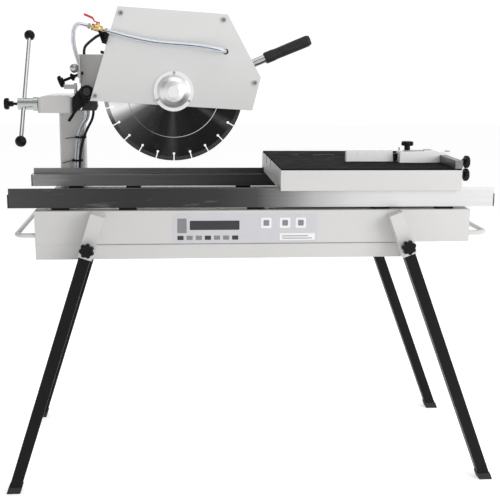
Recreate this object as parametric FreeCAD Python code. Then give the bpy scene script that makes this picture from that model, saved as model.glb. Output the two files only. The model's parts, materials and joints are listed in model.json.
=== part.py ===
import FreeCAD, Part
import math
import os

# A table saw for stone: a water tank on four splayed legs carries two rails, a rolling table, and
# a tilting, plunging saw head on a rear column. X runs along the cut, +Y to the rear, Z up. All
# sizes are in millimetres. The model is laid out about the middle of the tank and exported with its
# origin on the floor under the middle of the whole machine.

V = FreeCAD.Vector
X_AXIS = V(1, 0, 0)
Y_AXIS = V(0, 1, 0)
Z_AXIS = V(0, 0, 1)

# Middle of the machine's outline, measured from the middle of the tank
origin_x = -17.41
origin_y = 21.0

# Water tank
tank_half_length = 564.0
tank_half_width = 248.0
tank_rim = 750.0
tank_deep_floor = 625.0
tank_shallow_floor = 665.0
tank_step_x = 420.0
tank_sheet = 2.5
tank_flange = 50.0
tank_fold = 1.0
drain_x = -520.0
drain_y = -150.0

# Legs and their sockets
leg_size = 30.0
leg_wall = 2.5
leg_y = 266.5
leg_foot_x = {"left": -641.0, "right": 641.0}
leg_top_x = {"left": -403.0, "right": 358.0}
socket_top_z = 744.0
socket_length = 116.0
socket_size = 37.0
socket_wall = 3.0
socket_cap = 4.0
leg_play = 0.5
knob_below_socket_top = 90.0
foot_rubber = 2.0
foot_height = 18.0

# Rails
rail_half_length = 628.0
rail_top = 806.6
rail_bottom = 756.6
rail_box_top = 790.6
rail_width = 40.0
rail_lip = 4.0
rail_wall = 3.0
rail_front_y = -238.0
rail_back_y = 220.0
rail_cap = 3.0

# Column and head beam
column_x = (-552.0, -477.0)
column_y = (248.0, 323.0)
beam_x = (-597.0, -497.0)
beam_y = (120.0, 325.0)
beam_z = (975.0, 1025.0)
frame_wall = 4.0

# Tilt axis, along X
tilt_y = 150.0
tilt_z = 999.5
tilt_shaft_r = 10.0
shaft_fit = 0.05
tee_x = -639.0
tee_angle = math.radians(39.8)
tee_upper = 256.0
tee_lower = 130.6
tee_rod_r = 6.0
tee_ball_r = 16.0

# Plunge pivot, along Y
pivot_x = -455.0
pivot_z = 1037.0
pivot_r = 9.0

# Blade
blade_x = -209.0
blade_y = 100.0
blade_z = 1041.6
blade_r = 200.0
blade_core = 2.4
blade_rim = 3.4
segment_height = 10.0
segment_count = 24
arbor_r = 12.7

# Blade guard: outline corners in X and Z, from the lower rear corner round the top to the nose
guard_outline = [(-441.7, 1013.7), (-360.8, 1270.7), (-57.6, 1253.1), (36.7, 1081.2), (12.9, 988.9)]
guard_front_y = 48.0
guard_back_y = 152.0
guard_sheet = 2.5

# Motor, behind the guard on the blade's axis
motor_r = 80.0
motor_y = (158.5, 320.0)
fan_cover_end = 352.0

# Rolling table
table_x = (61.5, 536.6)
table_y = (-252.0, 228.0)
table_top = 857.6
mat_thickness = 4.0
table_sheet = 2.5
skirt_bottom = 800.6
kerf_half_width = 4.5
kerf_floor = 832.6
mitre_kerf_y = -4.0
roller_r = 15.0
axle_r = 6.0
axle_inset = 75.0

# Fence across the table
fence_front = -113.0
fence_back = -84.0
fence_height = 29.5
fence_right = 547.0
fence_split = 405.0
fence_left = 262.0
fence_rail_x = (516.8, 536.6)
fence_rail_height = 21.0

# Water hose and cables
hose_d = 12.5
guard_hose_d = 11.5
cable_d = 8.0


# ---------------------------------------------------------------- basic shapes

def box(x0, x1, y0, y1, z0, z1):
    """A block between two corners."""
    return Part.makeBox(x1 - x0, y1 - y0, z1 - z0, V(x0, y0, z0))


def round_box(x0, x1, y0, y1, z0, z1, radius, axis):
    """A block whose edges along one axis are rounded."""
    block = box(x0, x1, y0, y1, z0, z1)
    edges = [e for e in block.Edges if abs(e.tangentAt(e.FirstParameter).dot(axis)) > 0.9]
    return block.makeFillet(radius, edges)


def rod(start, axis, radius, length):
    """A round bar from a point along a direction."""
    return Part.makeCylinder(radius, length, V(*start), axis)


def ring(start, axis, outer, inner, length):
    """A tube from a point along a direction."""
    return rod(start, axis, outer, length).cut(rod(start, axis, inner, length))


def plate_xz(outline, y0, y1):
    """A plate of constant thickness along Y, from an outline in X and Z."""
    points = [V(x, y0, z) for x, z in outline]
    face = Part.Face(Part.makePolygon(points + points[:1]))
    return face.extrude(V(0, y1 - y0, 0))


def turned(profile):
    """A solid turned about Z, from a closed outline of radius and height."""
    points = [V(r, 0, z) for r, z in profile]
    face = Part.Face(Part.makePolygon(points + points[:1]))
    return face.revolve(V(0, 0, 0), Z_AXIS, 360)


def aimed(shape, start, direction):
    """A shape built upwards from the origin, moved to start and pointed along direction."""
    moved = shape.copy()
    moved.Placement = FreeCAD.Placement(V(*start), FreeCAD.Rotation(Z_AXIS, direction))
    return moved


def fused(*shapes):
    """Shapes joined into one piece."""
    whole = shapes[0]
    for shape in shapes[1:]:
        whole = whole.fuse(shape)
    return whole.removeSplitter()


def inset(outline, depth):
    """A convex outline, given clockwise, moved inwards by a depth."""
    lines = []
    count = len(outline)
    for i in range(count):
        (x0, z0), (x1, z1) = outline[i], outline[(i + 1) % count]
        length = math.hypot(x1 - x0, z1 - z0)
        normal = ((z1 - z0) / length, -(x1 - x0) / length)
        lines.append((normal, normal[0] * x0 + normal[1] * z0 + depth))
    corners = []
    for i in range(count):
        (a, p), (b, q) = lines[i - 1], lines[i]
        det = a[0] * b[1] - a[1] * b[0]
        corners.append(((p * b[1] - a[1] * q) / det, (a[0] * q - p * b[0]) / det))
    return corners


def star_knob(radius, thickness, boss_r, boss_length, stud_r, stud_length, lobes=7):
    """A star knob with its stud up along +Z: the head starts at the origin."""
    head = turned([(0, 0), (radius - 3, 0), (radius, 3), (radius, thickness - 2),
                   (radius - 2, thickness), (0, thickness)])
    scallop_r = radius * 0.3
    for i in range(lobes):
        turn = 2 * math.pi * i / lobes
        reach = radius + scallop_r * 0.35
        centre = (reach * math.cos(turn), reach * math.sin(turn), -1)
        head = head.cut(rod(centre, Z_AXIS, scallop_r, thickness + 2))
    boss = rod((0, 0, thickness), Z_AXIS, boss_r, boss_length)
    stud = rod((0, 0, thickness + boss_length), Z_AXIS, stud_r, stud_length)
    return fused(head, boss, stud)


def flexible_tube(name, route, diameter):
    """A hose or cable: straight runs joined by tangent arcs, as large as the runs allow."""
    points = [V(*p) for p in route]
    edges = []
    last = points[0]
    radii = []
    for before, corner, after in zip(points, points[1:], points[2:]):
        into = (corner - before).normalize()
        out = (after - corner).normalize()
        turn = into.getAngle(out)
        cut = 0.45 * min((corner - before).Length, (after - corner).Length)
        radii.append(cut / math.tan(turn / 2))
        start = corner - into * cut
        end = corner + out * cut
        bisector = (out - into).normalize()
        centre = corner + bisector * (radii[-1] / math.cos(turn / 2))
        middle = centre - bisector * radii[-1]
        edges.append(Part.LineSegment(last, start).toShape())
        edges.append(Part.Arc(start, middle, end).toShape())
        last = end
    edges.append(Part.LineSegment(last, points[-1]).toShape())
    path = Part.Wire(edges)
    section = Part.Wire(Part.Circle(points[0], points[1] - points[0], diameter / 2).toShape())
    tube = path.makePipeShell([section], True, False)
    expected = path.Length * math.pi * diameter ** 2 / 4
    print(f"{name}: length {path.Length:.0f}, tightest radius {min(radii):.0f},"
          f" volume ratio {abs(tube.Volume) / expected:.4f}")
    return tube


# ---------------------------------------------------------------- tank and legs

def tank():
    sheet = tank_sheet
    outer = box(-tank_half_length, tank_half_length, -tank_half_width, tank_half_width,
                tank_deep_floor, tank_rim)
    outer = outer.cut(box(tank_step_x, tank_half_length + 1, -tank_half_width - 1,
                          tank_half_width + 1, tank_deep_floor - 1, tank_shallow_floor))
    outer = outer.cut(box(-tank_half_length, tank_half_length, -tank_half_width - 1,
                          -tank_half_width + tank_fold, tank_deep_floor - 1, tank_shallow_floor))
    inner = box(-tank_half_length + sheet, tank_half_length - sheet, -tank_half_width + sheet,
                tank_half_width - sheet, tank_deep_floor + sheet, tank_rim - sheet)
    inner = inner.cut(box(tank_step_x - sheet, tank_half_length, -tank_half_width,
                          tank_half_width, tank_deep_floor, tank_shallow_floor + sheet))
    mouth = box(-tank_half_length + 18, tank_half_length - 18, -tank_half_width + tank_flange,
                tank_half_width - tank_flange, tank_rim - 5, tank_rim + 1)
    hose_slot = box(-512, -474, 227, tank_half_width - sheet, tank_rim - 5, tank_rim + 1)
    drain = rod((drain_x, drain_y, tank_deep_floor - 1), Z_AXIS, 14, 5)
    return outer.cut(inner).cut(mouth).cut(hose_slot).cut(drain)


def drain_plug():
    head = rod((drain_x, drain_y, tank_deep_floor - 10), Z_AXIS, 19, 9.8)
    thread = rod((drain_x, drain_y, tank_deep_floor - 0.2), Z_AXIS, 13.95, 6)
    grip = box(drain_x - 16, drain_x + 16, drain_y - 4, drain_y + 4, tank_deep_floor - 18,
               tank_deep_floor - 10)
    return fused(head, thread, grip)


def leg_line(side):
    """Where the middle of a socket's top is, and the direction of its leg down to the floor."""
    top = V(leg_top_x[side], 0, socket_top_z)
    foot = V(leg_foot_x[side], 0, 0)
    return top, (foot - top).normalize()


def square_bar(size, y, side, start, end):
    """A square bar along a leg's line, between two distances below the socket's top."""
    top, down = leg_line(side)
    bar = Part.makeBox(size, size, end - start, V(-size / 2, -size / 2, 0))
    turn = FreeCAD.Rotation(Y_AXIS, math.degrees(math.atan2(down.x, down.z)))
    bar.Placement = FreeCAD.Placement(top + down * start + V(0, y, 0), turn)
    return bar


def leg_socket(y, side):
    outer = square_bar(socket_size, y, side, 0, socket_length)
    hollow = square_bar(socket_size - 2 * socket_wall, y, side, socket_cap, socket_length + 5)
    outward = V(0, math.copysign(1, y), 0)
    stud_at = knob_place(y, side) - outward * (socket_wall + 1)
    hole = rod(tuple(stud_at), outward, 4.05, socket_wall + 4)
    return outer.cut(hollow).cut(hole)


def knob_place(y, side):
    """Middle of a leg's clamp screw on the socket's outer face."""
    top, down = leg_line(side)
    place = top + down * knob_below_socket_top
    return V(place.x, y + math.copysign(socket_size / 2, y), place.z)


def leg_sockets():
    return Part.makeCompound([leg_socket(y, side) for y in (-leg_y, leg_y)
                              for side in ("left", "right")])


def leg(y, side):
    """A square tube cut level at the floor, in a rubber foot."""
    top, down = leg_line(side)
    reach = socket_top_z / -down.z + 40
    floor_cut = box(-800, 800, y - 60, y + 60, -100, foot_rubber)
    start = socket_cap + leg_play
    tube = square_bar(leg_size, y, side, start, reach)
    tube = tube.cut(square_bar(leg_size - 2 * leg_wall, y, side, start - 5, reach))
    tube = tube.cut(floor_cut)
    foot = square_bar(leg_size + 2 * foot_rubber, y, side, reach - 120, reach)
    foot = foot.common(box(-800, 800, y - 60, y + 60, 0, foot_height))
    core = square_bar(leg_size + 0.1, y, side, reach - 120, reach).cut(floor_cut)
    return Part.makeCompound([tube, foot.cut(core)])


def leg_knob(y, side):
    outward = V(0, math.copysign(1, y), 0)
    place = knob_place(y, side)
    stud = socket_wall + leg_play - 0.3 + 6.0
    knob = star_knob(19, 14, 9, 5, 4, stud)
    return aimed(knob, tuple(place + outward * 25.0), outward * -1)


def carry_handle(side):
    """A bent round bar across an end of the tank, to lift it by."""
    x0 = side * tank_half_length
    x1 = side * (tank_half_length + 49)
    z = 687.0
    bend = 22.0
    y = tank_half_width - 9
    route = [V(x0, -y, z), V(x1, -y, z), V(x1, y, z), V(x0, y, z)]
    edges = []
    last = route[0]
    for before, corner, after in zip(route, route[1:], route[2:]):
        into = (corner - before).normalize()
        out = (after - corner).normalize()
        start = corner - into * bend
        end = corner + out * bend
        middle = corner + (out - into).normalize() * (bend * (math.sqrt(2) - 1))
        edges.append(Part.LineSegment(last, start).toShape())
        edges.append(Part.Arc(start, middle, end).toShape())
        last = end
    edges.append(Part.LineSegment(last, route[-1]).toShape())
    path = Part.Wire(edges)
    section = Part.Wire(Part.Circle(route[0], X_AXIS * side, 6).toShape())
    return path.makePipeShell([section], True, False)


def carry_handles():
    return Part.makeCompound([carry_handle(-1), carry_handle(1)])


# ---------------------------------------------------------------- rails

def rail(outer_y, inward):
    """A box rail with a lip standing up along its outer side."""
    def across(a, b):
        return sorted((outer_y + inward * a, outer_y + inward * b))
    y0, y1 = across(0, rail_width)
    body = box(-rail_half_length, rail_half_length, y0, y1, rail_bottom, rail_box_top)
    y0, y1 = across(0, rail_lip)
    lip = box(-rail_half_length, rail_half_length, y0, y1, rail_box_top - 1, rail_top)
    y0, y1 = across(rail_wall, rail_width - rail_wall)
    hollow = box(-rail_half_length, rail_half_length, y0, y1, rail_bottom + rail_wall,
                 rail_box_top - rail_wall)
    return fused(body, lip).cut(hollow)


def rail_caps_and_spacers():
    """Plugs in the rails' open ends, and the spacers that the rails stand on."""
    pieces = []
    for outer_y, inward in ((rail_front_y, 1), (rail_back_y, -1)):
        y0, y1 = sorted((outer_y, outer_y + inward * rail_width))
        for end in (-1, 1):
            x0, x1 = sorted((end * rail_half_length, end * (rail_half_length + rail_cap)))
            cap = box(x0, x1, y0, y1, rail_bottom, rail_box_top)
            x0, x1 = sorted((end * rail_half_length, end * (rail_half_length - 12)))
            plug = box(x0, x1, y0 + rail_wall, y1 - rail_wall, rail_bottom + rail_wall,
                       rail_box_top - rail_wall)
            pieces.append(fused(cap, plug))
        middle_y = (y0 + y1) / 2
        for x in (-500, -330, 0, 330, 500):
            spacer = box(x - 22, x + 22, middle_y - 17, middle_y + 17, tank_rim, rail_bottom)
            pieces.append(spacer)
    return Part.makeCompound(pieces)


# ---------------------------------------------------------------- column, beam and tilt clamp

def column():
    x0, x1 = column_x
    y0, y1 = column_y
    outer = round_box(x0, x1, y0, y1, tank_deep_floor, beam_z[0], 8, Z_AXIS)
    wall = frame_wall
    return outer.cut(box(x0 + wall, x1 - wall, y0 + wall, y1 - wall, tank_deep_floor - 1,
                         beam_z[0] + 1))


def head_beam():
    x0, x1 = beam_x
    y0, y1 = beam_y
    z0, z1 = beam_z
    outer = round_box(x0, x1, y0, y1, z0, z1, 12, Z_AXIS)
    shoulder = plate_xz([(x0, z0), (x0, z1 - 9), (x0 + 9, z1 - 4), (x0 + 32, z1), (x1 - 12, z1),
                         (x1, z1 - 6), (x1, z0)], y0, y1)
    outer = outer.common(shoulder)
    wall = frame_wall
    hollow = box(x0 + wall + 4, x1 - wall, y0 + wall, y1 - wall, z0 + wall, z1 - wall - 8)
    bush = rod((x0 + 1, tilt_y, tilt_z), X_AXIS, 17, x1 - x0 - 2)
    bore = rod((x0 - 1, tilt_y, tilt_z), X_AXIS, tilt_shaft_r + shaft_fit, x1 - x0 + 2)
    return fused(outer.cut(hollow), bush).cut(bore)


def tee_hub():
    """The clamp nut on the tilt shaft, with a cross hole for the bar."""
    left = -655.0
    right = beam_x[0] - 1.0
    barrel = rod((left, tilt_y, tilt_z), X_AXIS, 17.5, right - left)
    collar = rod((right - 13, tilt_y, tilt_z), X_AXIS, 21, 13)
    body = fused(barrel, collar)
    shaft_hole = rod((-622, tilt_y, tilt_z), X_AXIS, tilt_shaft_r - 2 + shaft_fit, 40)
    knob_hole = rod((left - 1, tilt_y, tilt_z), X_AXIS, 4.05, 9)
    along = V(0, math.sin(tee_angle), math.cos(tee_angle))
    middle = V(tee_x, tilt_y, tilt_z)
    cross_hole = rod(tuple(middle - along * 30), along, tee_rod_r + shaft_fit, 60)
    return body.cut(shaft_hole).cut(knob_hole).cut(cross_hole)


def tee_rod():
    """The bar that turns the clamp nut, with a ball on each end."""
    along = V(0, math.sin(tee_angle), math.cos(tee_angle))
    middle = V(tee_x, tilt_y, tilt_z)
    low = middle - along * (tee_lower - 8)
    high = middle + along * (tee_upper - 8)
    bar = rod(tuple(low), along, tee_rod_r, (high - low).Length)
    pieces = [bar]
    for centre in (middle - along * tee_lower, middle + along * tee_upper):
        pieces.append(Part.makeSphere(tee_ball_r, centre).cut(bar))
    return Part.makeCompound(pieces)


def end_knob():
    return aimed(star_knob(17, 13, 8, 12, 4, 16, lobes=6), (-694, tilt_y, tilt_z), X_AXIS)


yoke_plate_x = (-496.5, -487.5)
front_cheek_y = (120.0, 128.0)
rear_cheek_y = (196.0, 204.0)


def tilt_yoke():
    """The black casting that turns with the tilt shaft and holds the plunge pivot in two cheeks."""
    x0, x1 = yoke_plate_x
    plate = box(x0, x1, front_cheek_y[0], rear_cheek_y[1], 979, 1021)
    shaft = rod((-597.5, tilt_y, tilt_z), X_AXIS, tilt_shaft_r, x0 + 598)
    thread = rod((-621.5, tilt_y, tilt_z), X_AXIS, tilt_shaft_r - 2, 25)
    pieces = [plate, shaft, thread]
    outline = [(x0, 979), (x0, 1021), (-470, 1051), (-455, 1053), (-440, 1044), (-439, 1031),
               (-455, 1008), (-487, 979)]
    for y0, y1 in (front_cheek_y, rear_cheek_y):
        pieces.append(plate_xz(outline, y0, y1))
    tongue = plate_xz([(x0, 979), (-486, 980), (-504.5, 952), (-509, 951.5), (-511.5, 956)],
                      beam_y[0] - 8.5, beam_y[0] - 0.5)
    web = plate_xz([(x0, 1021), (x0, 979), (-487, 979), (-470, 995), (-480, 1030)],
                   beam_y[0] - 8.5, front_cheek_y[0] + 1)
    boss = rod((pivot_x, 106, pivot_z), Y_AXIS, 13.5, 15)
    body = fused(*pieces, tongue, web, boss)
    bore = rod((pivot_x, 100, pivot_z), Y_AXIS, pivot_r, 120)
    return body.cut(bore)


def stop_bracket():
    """The bright bracket bolted on the yoke, whose prong the depth screw's knob bears on."""
    upright = box(-493, -487, 130, 170, 1021, 1060)
    prong = box(-521.5, -492, 130, 137.7, 1043, 1056)
    return fused(upright, prong)


def pivot_axle():
    """The pin through the yoke's cheeks and the swing arm, with a head in front."""
    pin = rod((pivot_x, 104, pivot_z), Y_AXIS, pivot_r - shaft_fit, 106)
    head = rod((pivot_x, 100, pivot_z), Y_AXIS, 11, 5.5)
    return fused(head, pin)


def torsion_spring():
    """A close coil round the front boss of the yoke."""
    coil = Part.makeHelix(3.6, 10.8, 16.4)
    wire = Part.Wire(Part.Circle(V(16.4, 0, 0), Y_AXIS, 1.6).toShape())
    spring = Part.Wire(coil.Edges).makePipeShell([wire], True, True)
    spring.Placement = FreeCAD.Placement(V(pivot_x, 107.4, pivot_z), FreeCAD.Rotation(Z_AXIS, Y_AXIS))
    return spring


duct_y = (204.4, 246.0)


def hose_duct():
    """The grey bracket that the pump's hose and cable pass through."""
    y0, y1 = duct_y
    outline = [(-480, 978), (-473, 1006), (-435, 1006), (-433, 990), (-438, 978)]
    return plate_xz(outline, y0, y1)


# ---------------------------------------------------------------- saw head

arm_y = (153.0, 158.0)
arm_left = -476.0
arm_bottom = 1026.0
arm_top = 1141.0


def swing_arm():
    """The plate behind the guard, with a flange at its left edge and the pivot's hub."""
    outline = [(arm_left, arm_bottom), (arm_left, arm_top), (-300, arm_top), (-110, 1130), (-60, 1105),
               (-60, 1050), (-125, 965), (-293, 965), (-340, arm_bottom)]
    web = plate_xz(outline, *arm_y)
    flange = box(arm_left, arm_left + 3, 112, arm_y[0] + 1, arm_bottom + 34, arm_top)
    hub = rod((pivot_x, front_cheek_y[1] + 0.4, pivot_z), Y_AXIS, 15,
              rear_cheek_y[0] - front_cheek_y[1] - 0.8)
    nut = box(arm_left - 7, arm_left, 140, 160, 1074, 1096)
    nut = nut.common(box(-600, 0, 140, arm_y[1], 0, 2000))
    body = fused(web, flange, hub, nut)
    bore = rod((pivot_x, 100, pivot_z), Y_AXIS, pivot_r, 120)
    spindle_hole = rod((blade_x, 140, blade_z), Y_AXIS, 30, 40)
    screw_hole = rod(tuple(screw_tip), screw_axis, 4.3, 60)
    return body.cut(bore).cut(spindle_hole).cut(screw_hole)


# The depth screw rises towards the arm's flange
screw_angle = math.radians(22)
screw_axis = V(-math.cos(screw_angle), 0, -math.sin(screw_angle))
screw_tip = V(-468, 150, 1088.8)


def depth_screw():
    """The screw on the arm: a star knob that bears on the bracket, and a lock knob at the flange."""
    stem = aimed(rod((0, 0, 0), Z_AXIS, 4.25, 66), tuple(screw_tip), screw_axis)
    lock = star_knob(11.5, 8, 7, 4, 4.25, 2, lobes=6)
    lock = aimed(lock, tuple(screw_tip + screw_axis * 37.5), screw_axis * -1)
    stop = star_knob(17.5, 11, 10, 4, 4.25, 2)
    stop = aimed(stop, tuple(screw_tip + screw_axis * 74.3), screw_axis * -1)
    return fused(stem, lock, stop)


def guard_rear():
    """The guard's back plate with the wall round its top and sides. It is open below."""
    outer = plate_xz(guard_outline, guard_front_y + guard_sheet, guard_back_y)
    inner_outline = inset(guard_outline, guard_sheet)
    rear_low, nose_low = inner_outline[0], inner_outline[-1]
    open_outline = inner_outline[:]
    open_outline[0] = (rear_low[0] - 5.2, rear_low[1] - 16.4)
    open_outline[-1] = (nose_low[0] - 3.5, nose_low[1] - 13.6)
    inner = plate_xz(open_outline, guard_front_y, guard_back_y - guard_sheet)
    shaft_hole = rod((blade_x, 140, blade_z), Y_AXIS, 30, 20)
    shell = outer.cut(inner).cut(shaft_hole)
    posts = []
    for x, z in guard_screw_places:
        post = rod((x, guard_front_y + guard_sheet, z), Y_AXIS, 8,
                   guard_back_y - guard_front_y - 1.5 * guard_sheet)
        posts.append(post)
    shell = fused(shell, *posts)
    for x, z in guard_screw_places:
        shell = shell.cut(rod((x, guard_front_y, z), Y_AXIS, 3, 20))
    return shell


guard_screw_places = [(-352, 1253), (-69, 1238), (-427.5, 1027.7), (20, 1066.4)]


def guard_front():
    """The flat front cover, with a short drip tab under the blade's hub."""
    plate = plate_xz(guard_outline, guard_front_y, guard_front_y + guard_sheet)
    tab = plate_xz([(-245, 1010), (-175, 1010), (-180, 996), (-190, 990), (-229, 992), (-239, 998)],
                   guard_front_y, guard_front_y + guard_sheet)
    cover = fused(plate, tab)
    cover = cover.cut(rod((blade_x, 40, blade_z), Y_AXIS, 38, 20))
    for x, z in guard_screw_places + [hub_screw(i) for i in range(3)]:
        cover = cover.cut(rod((x, 40, z), Y_AXIS, 3, 20))
    hose_hole = rod((-63, 40, 1151.3), Y_AXIS, guard_hose_d / 2 + 2, 20)
    return cover.cut(hose_hole)


def hub_screw(i):
    turn = math.radians(88 + 120 * i)
    return blade_x + 51.5 * math.cos(turn), blade_z + 51.5 * math.sin(turn)


def guard_screws():
    """Pan-head screws: four in the cover's corners and three in the hub cover."""
    pieces = []
    for x, z in guard_screw_places:
        head = rod((x, guard_front_y - 4, z), Y_AXIS, 6.5, 4)
        pieces.append(fused(head, rod((x, guard_front_y - 1, z), Y_AXIS, 2.95, 16)))
    for i in range(3):
        x, z = hub_screw(i)
        head = rod((x, guard_front_y - 6, z), Y_AXIS, 3.6, 3)
        pieces.append(fused(head, rod((x, guard_front_y - 4, z), Y_AXIS, 2.95, 8)))
    return Part.makeCompound(pieces)


def hub_cover():
    """A spun dome over the blade's nut, on a flange."""
    dome = [(0, 28), (16, 28), (29, 24), (39, 16), (45, 6), (46.5, 3), (56, 3), (56, 0), (44, 0),
            (41, 7), (36, 14), (27, 21.5), (15, 25.5), (0, 25.5)]
    cover = aimed(turned(dome), (blade_x, guard_front_y, blade_z), Y_AXIS * -1)
    for i in range(3):
        x, z = hub_screw(i)
        cover = cover.cut(rod((x, 40, z), Y_AXIS, 3, 10))
    return cover


def motor_housing():
    """A finned barrel with end shields that hold the spindle."""
    y0, y1 = motor_y
    barrel = rod((blade_x, y0, blade_z), Y_AXIS, motor_r - 5, y1 - y0)
    fins = []
    fin_count = 20
    for i in range(fin_count):
        if i == 3 * fin_count // 4:
            continue
        fin = box(blade_x - 1.5, blade_x + 1.5, y0 + 14, y1 - 8, blade_z + motor_r - 8, blade_z + motor_r)
        fin.rotate(V(blade_x, 0, blade_z), Y_AXIS, 90 + 360.0 * i / fin_count)
        fins.append(fin)
    flange = rod((blade_x, y0, blade_z), Y_AXIS, motor_r, 10)
    body = fused(barrel, flange, *fins)
    hollow = rod((blade_x, y0 + 10, blade_z), Y_AXIS, motor_r - 9, y1 - y0 - 18)
    bore = rod((blade_x, y0 - 1, blade_z), Y_AXIS, arbor_r, y1 - y0 + 2)
    return body.cut(hollow).cut(bore)


def motor_stator():
    y0 = motor_y[0] + 25
    return ring((blade_x, y0, blade_z), Y_AXIS, motor_r - 9.05, 48, 105)


def fan_cover():
    y1 = motor_y[1]
    outer = rod((blade_x, y1, blade_z), Y_AXIS, motor_r - 4, fan_cover_end - y1)
    rim = [e for e in outer.Edges if abs(e.CenterOfMass.y - fan_cover_end) < 0.1 and e.Closed]
    outer = outer.makeFillet(8, rim[:1])
    hollow = rod((blade_x, y1 - 1, blade_z), Y_AXIS, motor_r - 7, fan_cover_end - y1 - 2)
    cover = outer.cut(hollow)
    for row, count in ((24, 8), (42, 14), (60, 20)):
        for i in range(count):
            turn = 2 * math.pi * i / count
            at = (blade_x + row * math.cos(turn), fan_cover_end - 5, blade_z + row * math.sin(turn))
            cover = cover.cut(rod(at, Y_AXIS, 4, 8))
    return cover


switch_box_x = (-249.0, -169.0)
switch_box_y = (205.0, 285.0)
switch_box_z = (1105.0, 1166.0)


def switch_box():
    """The terminal box saddled on the motor, with an inlet gland behind and the rocker's well."""
    x0, x1 = switch_box_x
    y0, y1 = switch_box_y
    z0, z1 = switch_box_z
    outer = round_box(x0, x1, y0, y1, z0, z1, 5, Z_AXIS)
    outer = outer.cut(rod((blade_x, y0 - 5, blade_z), Y_AXIS, motor_r + shaft_fit, y1 - y0 + 10))
    hollow = box(x0 + 3, x1 - 3, y0 + 3, y1 - 3, 1126, z1 - 3)
    well = box(x1 - 8, x1 + 1, 232, 258, 1129, 1157)
    gland = ring((-230, y1, 1145), Y_AXIS, 11, 4.5, 16)
    gland_hole = rod((-230, y1 - 5, 1145), Y_AXIS, 4.5, 10)
    cable_hole = rod((x0 - 2, 226, 1142), X_AXIS, cable_d / 2, 8)
    return fused(outer.cut(hollow), gland).cut(well).cut(gland_hole).cut(cable_hole)


def power_switch():
    """A rocker that stands proud at one end."""
    x1 = switch_box_x[1]
    rocker = plate_xz([(x1 - 3, 1131), (x1 + 1, 1131), (x1 + 1.8, 1143), (x1 + 5, 1155), (x1 - 3, 1155)],
                      233, 257)
    return fused(rocker, rod((x1 - 3, 233, 1143), Y_AXIS, 2.5, 24))


handle_angle = math.radians(22.5)
handle_axis = V(math.cos(handle_angle), 0, math.sin(handle_angle))
handle_start = V(-88, 172, 1072.5)
grip_start = V(65, 172, 1136)
grip_length = 138.0
handle_r = 12.8


def handle_tube():
    """A tube welded to a lug on the swing arm."""
    length = (grip_start - handle_start).Length
    tube = rod(tuple(handle_start), handle_axis, handle_r, length + 90)
    lug = plate_xz([(-92, 1052), (-92, 1085), (-62, 1096), (-62, 1064)], arm_y[1], arm_y[1] + 6)
    return fused(tube, lug)


def handle_grip():
    """A moulded grip with a ribbed skirt, closed at the end."""
    grip = turned([(0, -6), (15, -6), (17, -2), (17, 20), (15.8, 30), (16.2, 70), (16.6, 105),
                   (16.4, 130), (13, grip_length), (0, grip_length)])
    grip = aimed(grip, tuple(grip_start), handle_axis)
    return grip.cut(rod(tuple(handle_start), handle_axis, handle_r, (grip_start - handle_start).Length + 90))


# ---------------------------------------------------------------- water valve and hoses

valve_centre = V(-417.3, 42, 1211.3)
valve_tilt = math.radians(-14)
valve_axis = V(math.cos(valve_tilt), 0, math.sin(valve_tilt))
stem_axis = V(-math.sin(valve_tilt), 0, math.cos(valve_tilt))


def valve_body():
    """A small ball valve with a hose tail at each end and a stem boss above."""
    middle = aimed(turned([(0, -9), (8, -9), (9.5, -6), (9.5, 6), (8, 9), (0, 9)]),
                   tuple(valve_centre), valve_axis)
    hexes = []
    for start in (-15, 9):
        prism = Part.Face(Part.makePolygon([V(9 * math.cos(math.radians(60 * i)),
                                              9 * math.sin(math.radians(60 * i)), start)
                                            for i in range(7)])).extrude(V(0, 0, 6))
        hexes.append(aimed(prism, tuple(valve_centre), valve_axis))
    tail_in = aimed(rod((0, 0, -24), Z_AXIS, 4, 10), tuple(valve_centre), valve_axis)
    tail_out = aimed(rod((0, 0, 14), Z_AXIS, 4, 8), tuple(valve_centre), valve_axis)
    boss = aimed(rod((0, 0, 5), Z_AXIS, 5, 8), tuple(valve_centre), stem_axis)
    return fused(middle, *hexes, tail_in, tail_out, boss)


def valve_lever():
    """The lever on top of the valve's stem, lying back along the pipe."""
    def at(a, s):
        point = valve_centre + valve_axis * a + stem_axis * s
        return point.x, point.z
    hub = aimed(rod((0, 0, 13.4), Z_AXIS, 5.5, 3.6), tuple(valve_centre), stem_axis)
    blade = plate_xz([at(4, 13.6), at(-10, 13.6), at(-18, 20.5), at(-41, 24), at(-43, 27), at(-41, 30),
                      at(-17, 26.5), at(-9, 17), at(4, 17)], valve_centre.y - 4.5, valve_centre.y + 4.5)
    return fused(hub, blade)


def valve_bracket():
    """The clip that ties the valve to the guard's edge, and two cable clips below it."""
    plate = plate_xz([(-414, 1202.5), (-396, 1202.5), (-384.8, 1196.5), (-393.5, 1168), (-404, 1171)],
                     34, 62)
    plate = plate.cut(plate_xz([(-411, 1198), (-398, 1198), (-396, 1180), (-402, 1180)], 30, 48))
    hose_cut = rod(tuple(valve_centre - valve_axis * 40), valve_axis, 9.6, 80)
    clip = plate_xz([(-414, 1152), (-400, 1149), (-403, 1140), (-414, 1144)], 108, 120)
    guard_block = plate_xz(guard_outline, 0, 200)
    return Part.makeCompound([plate.cut(hose_cut).cut(guard_block), clip.cut(guard_block)])


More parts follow.
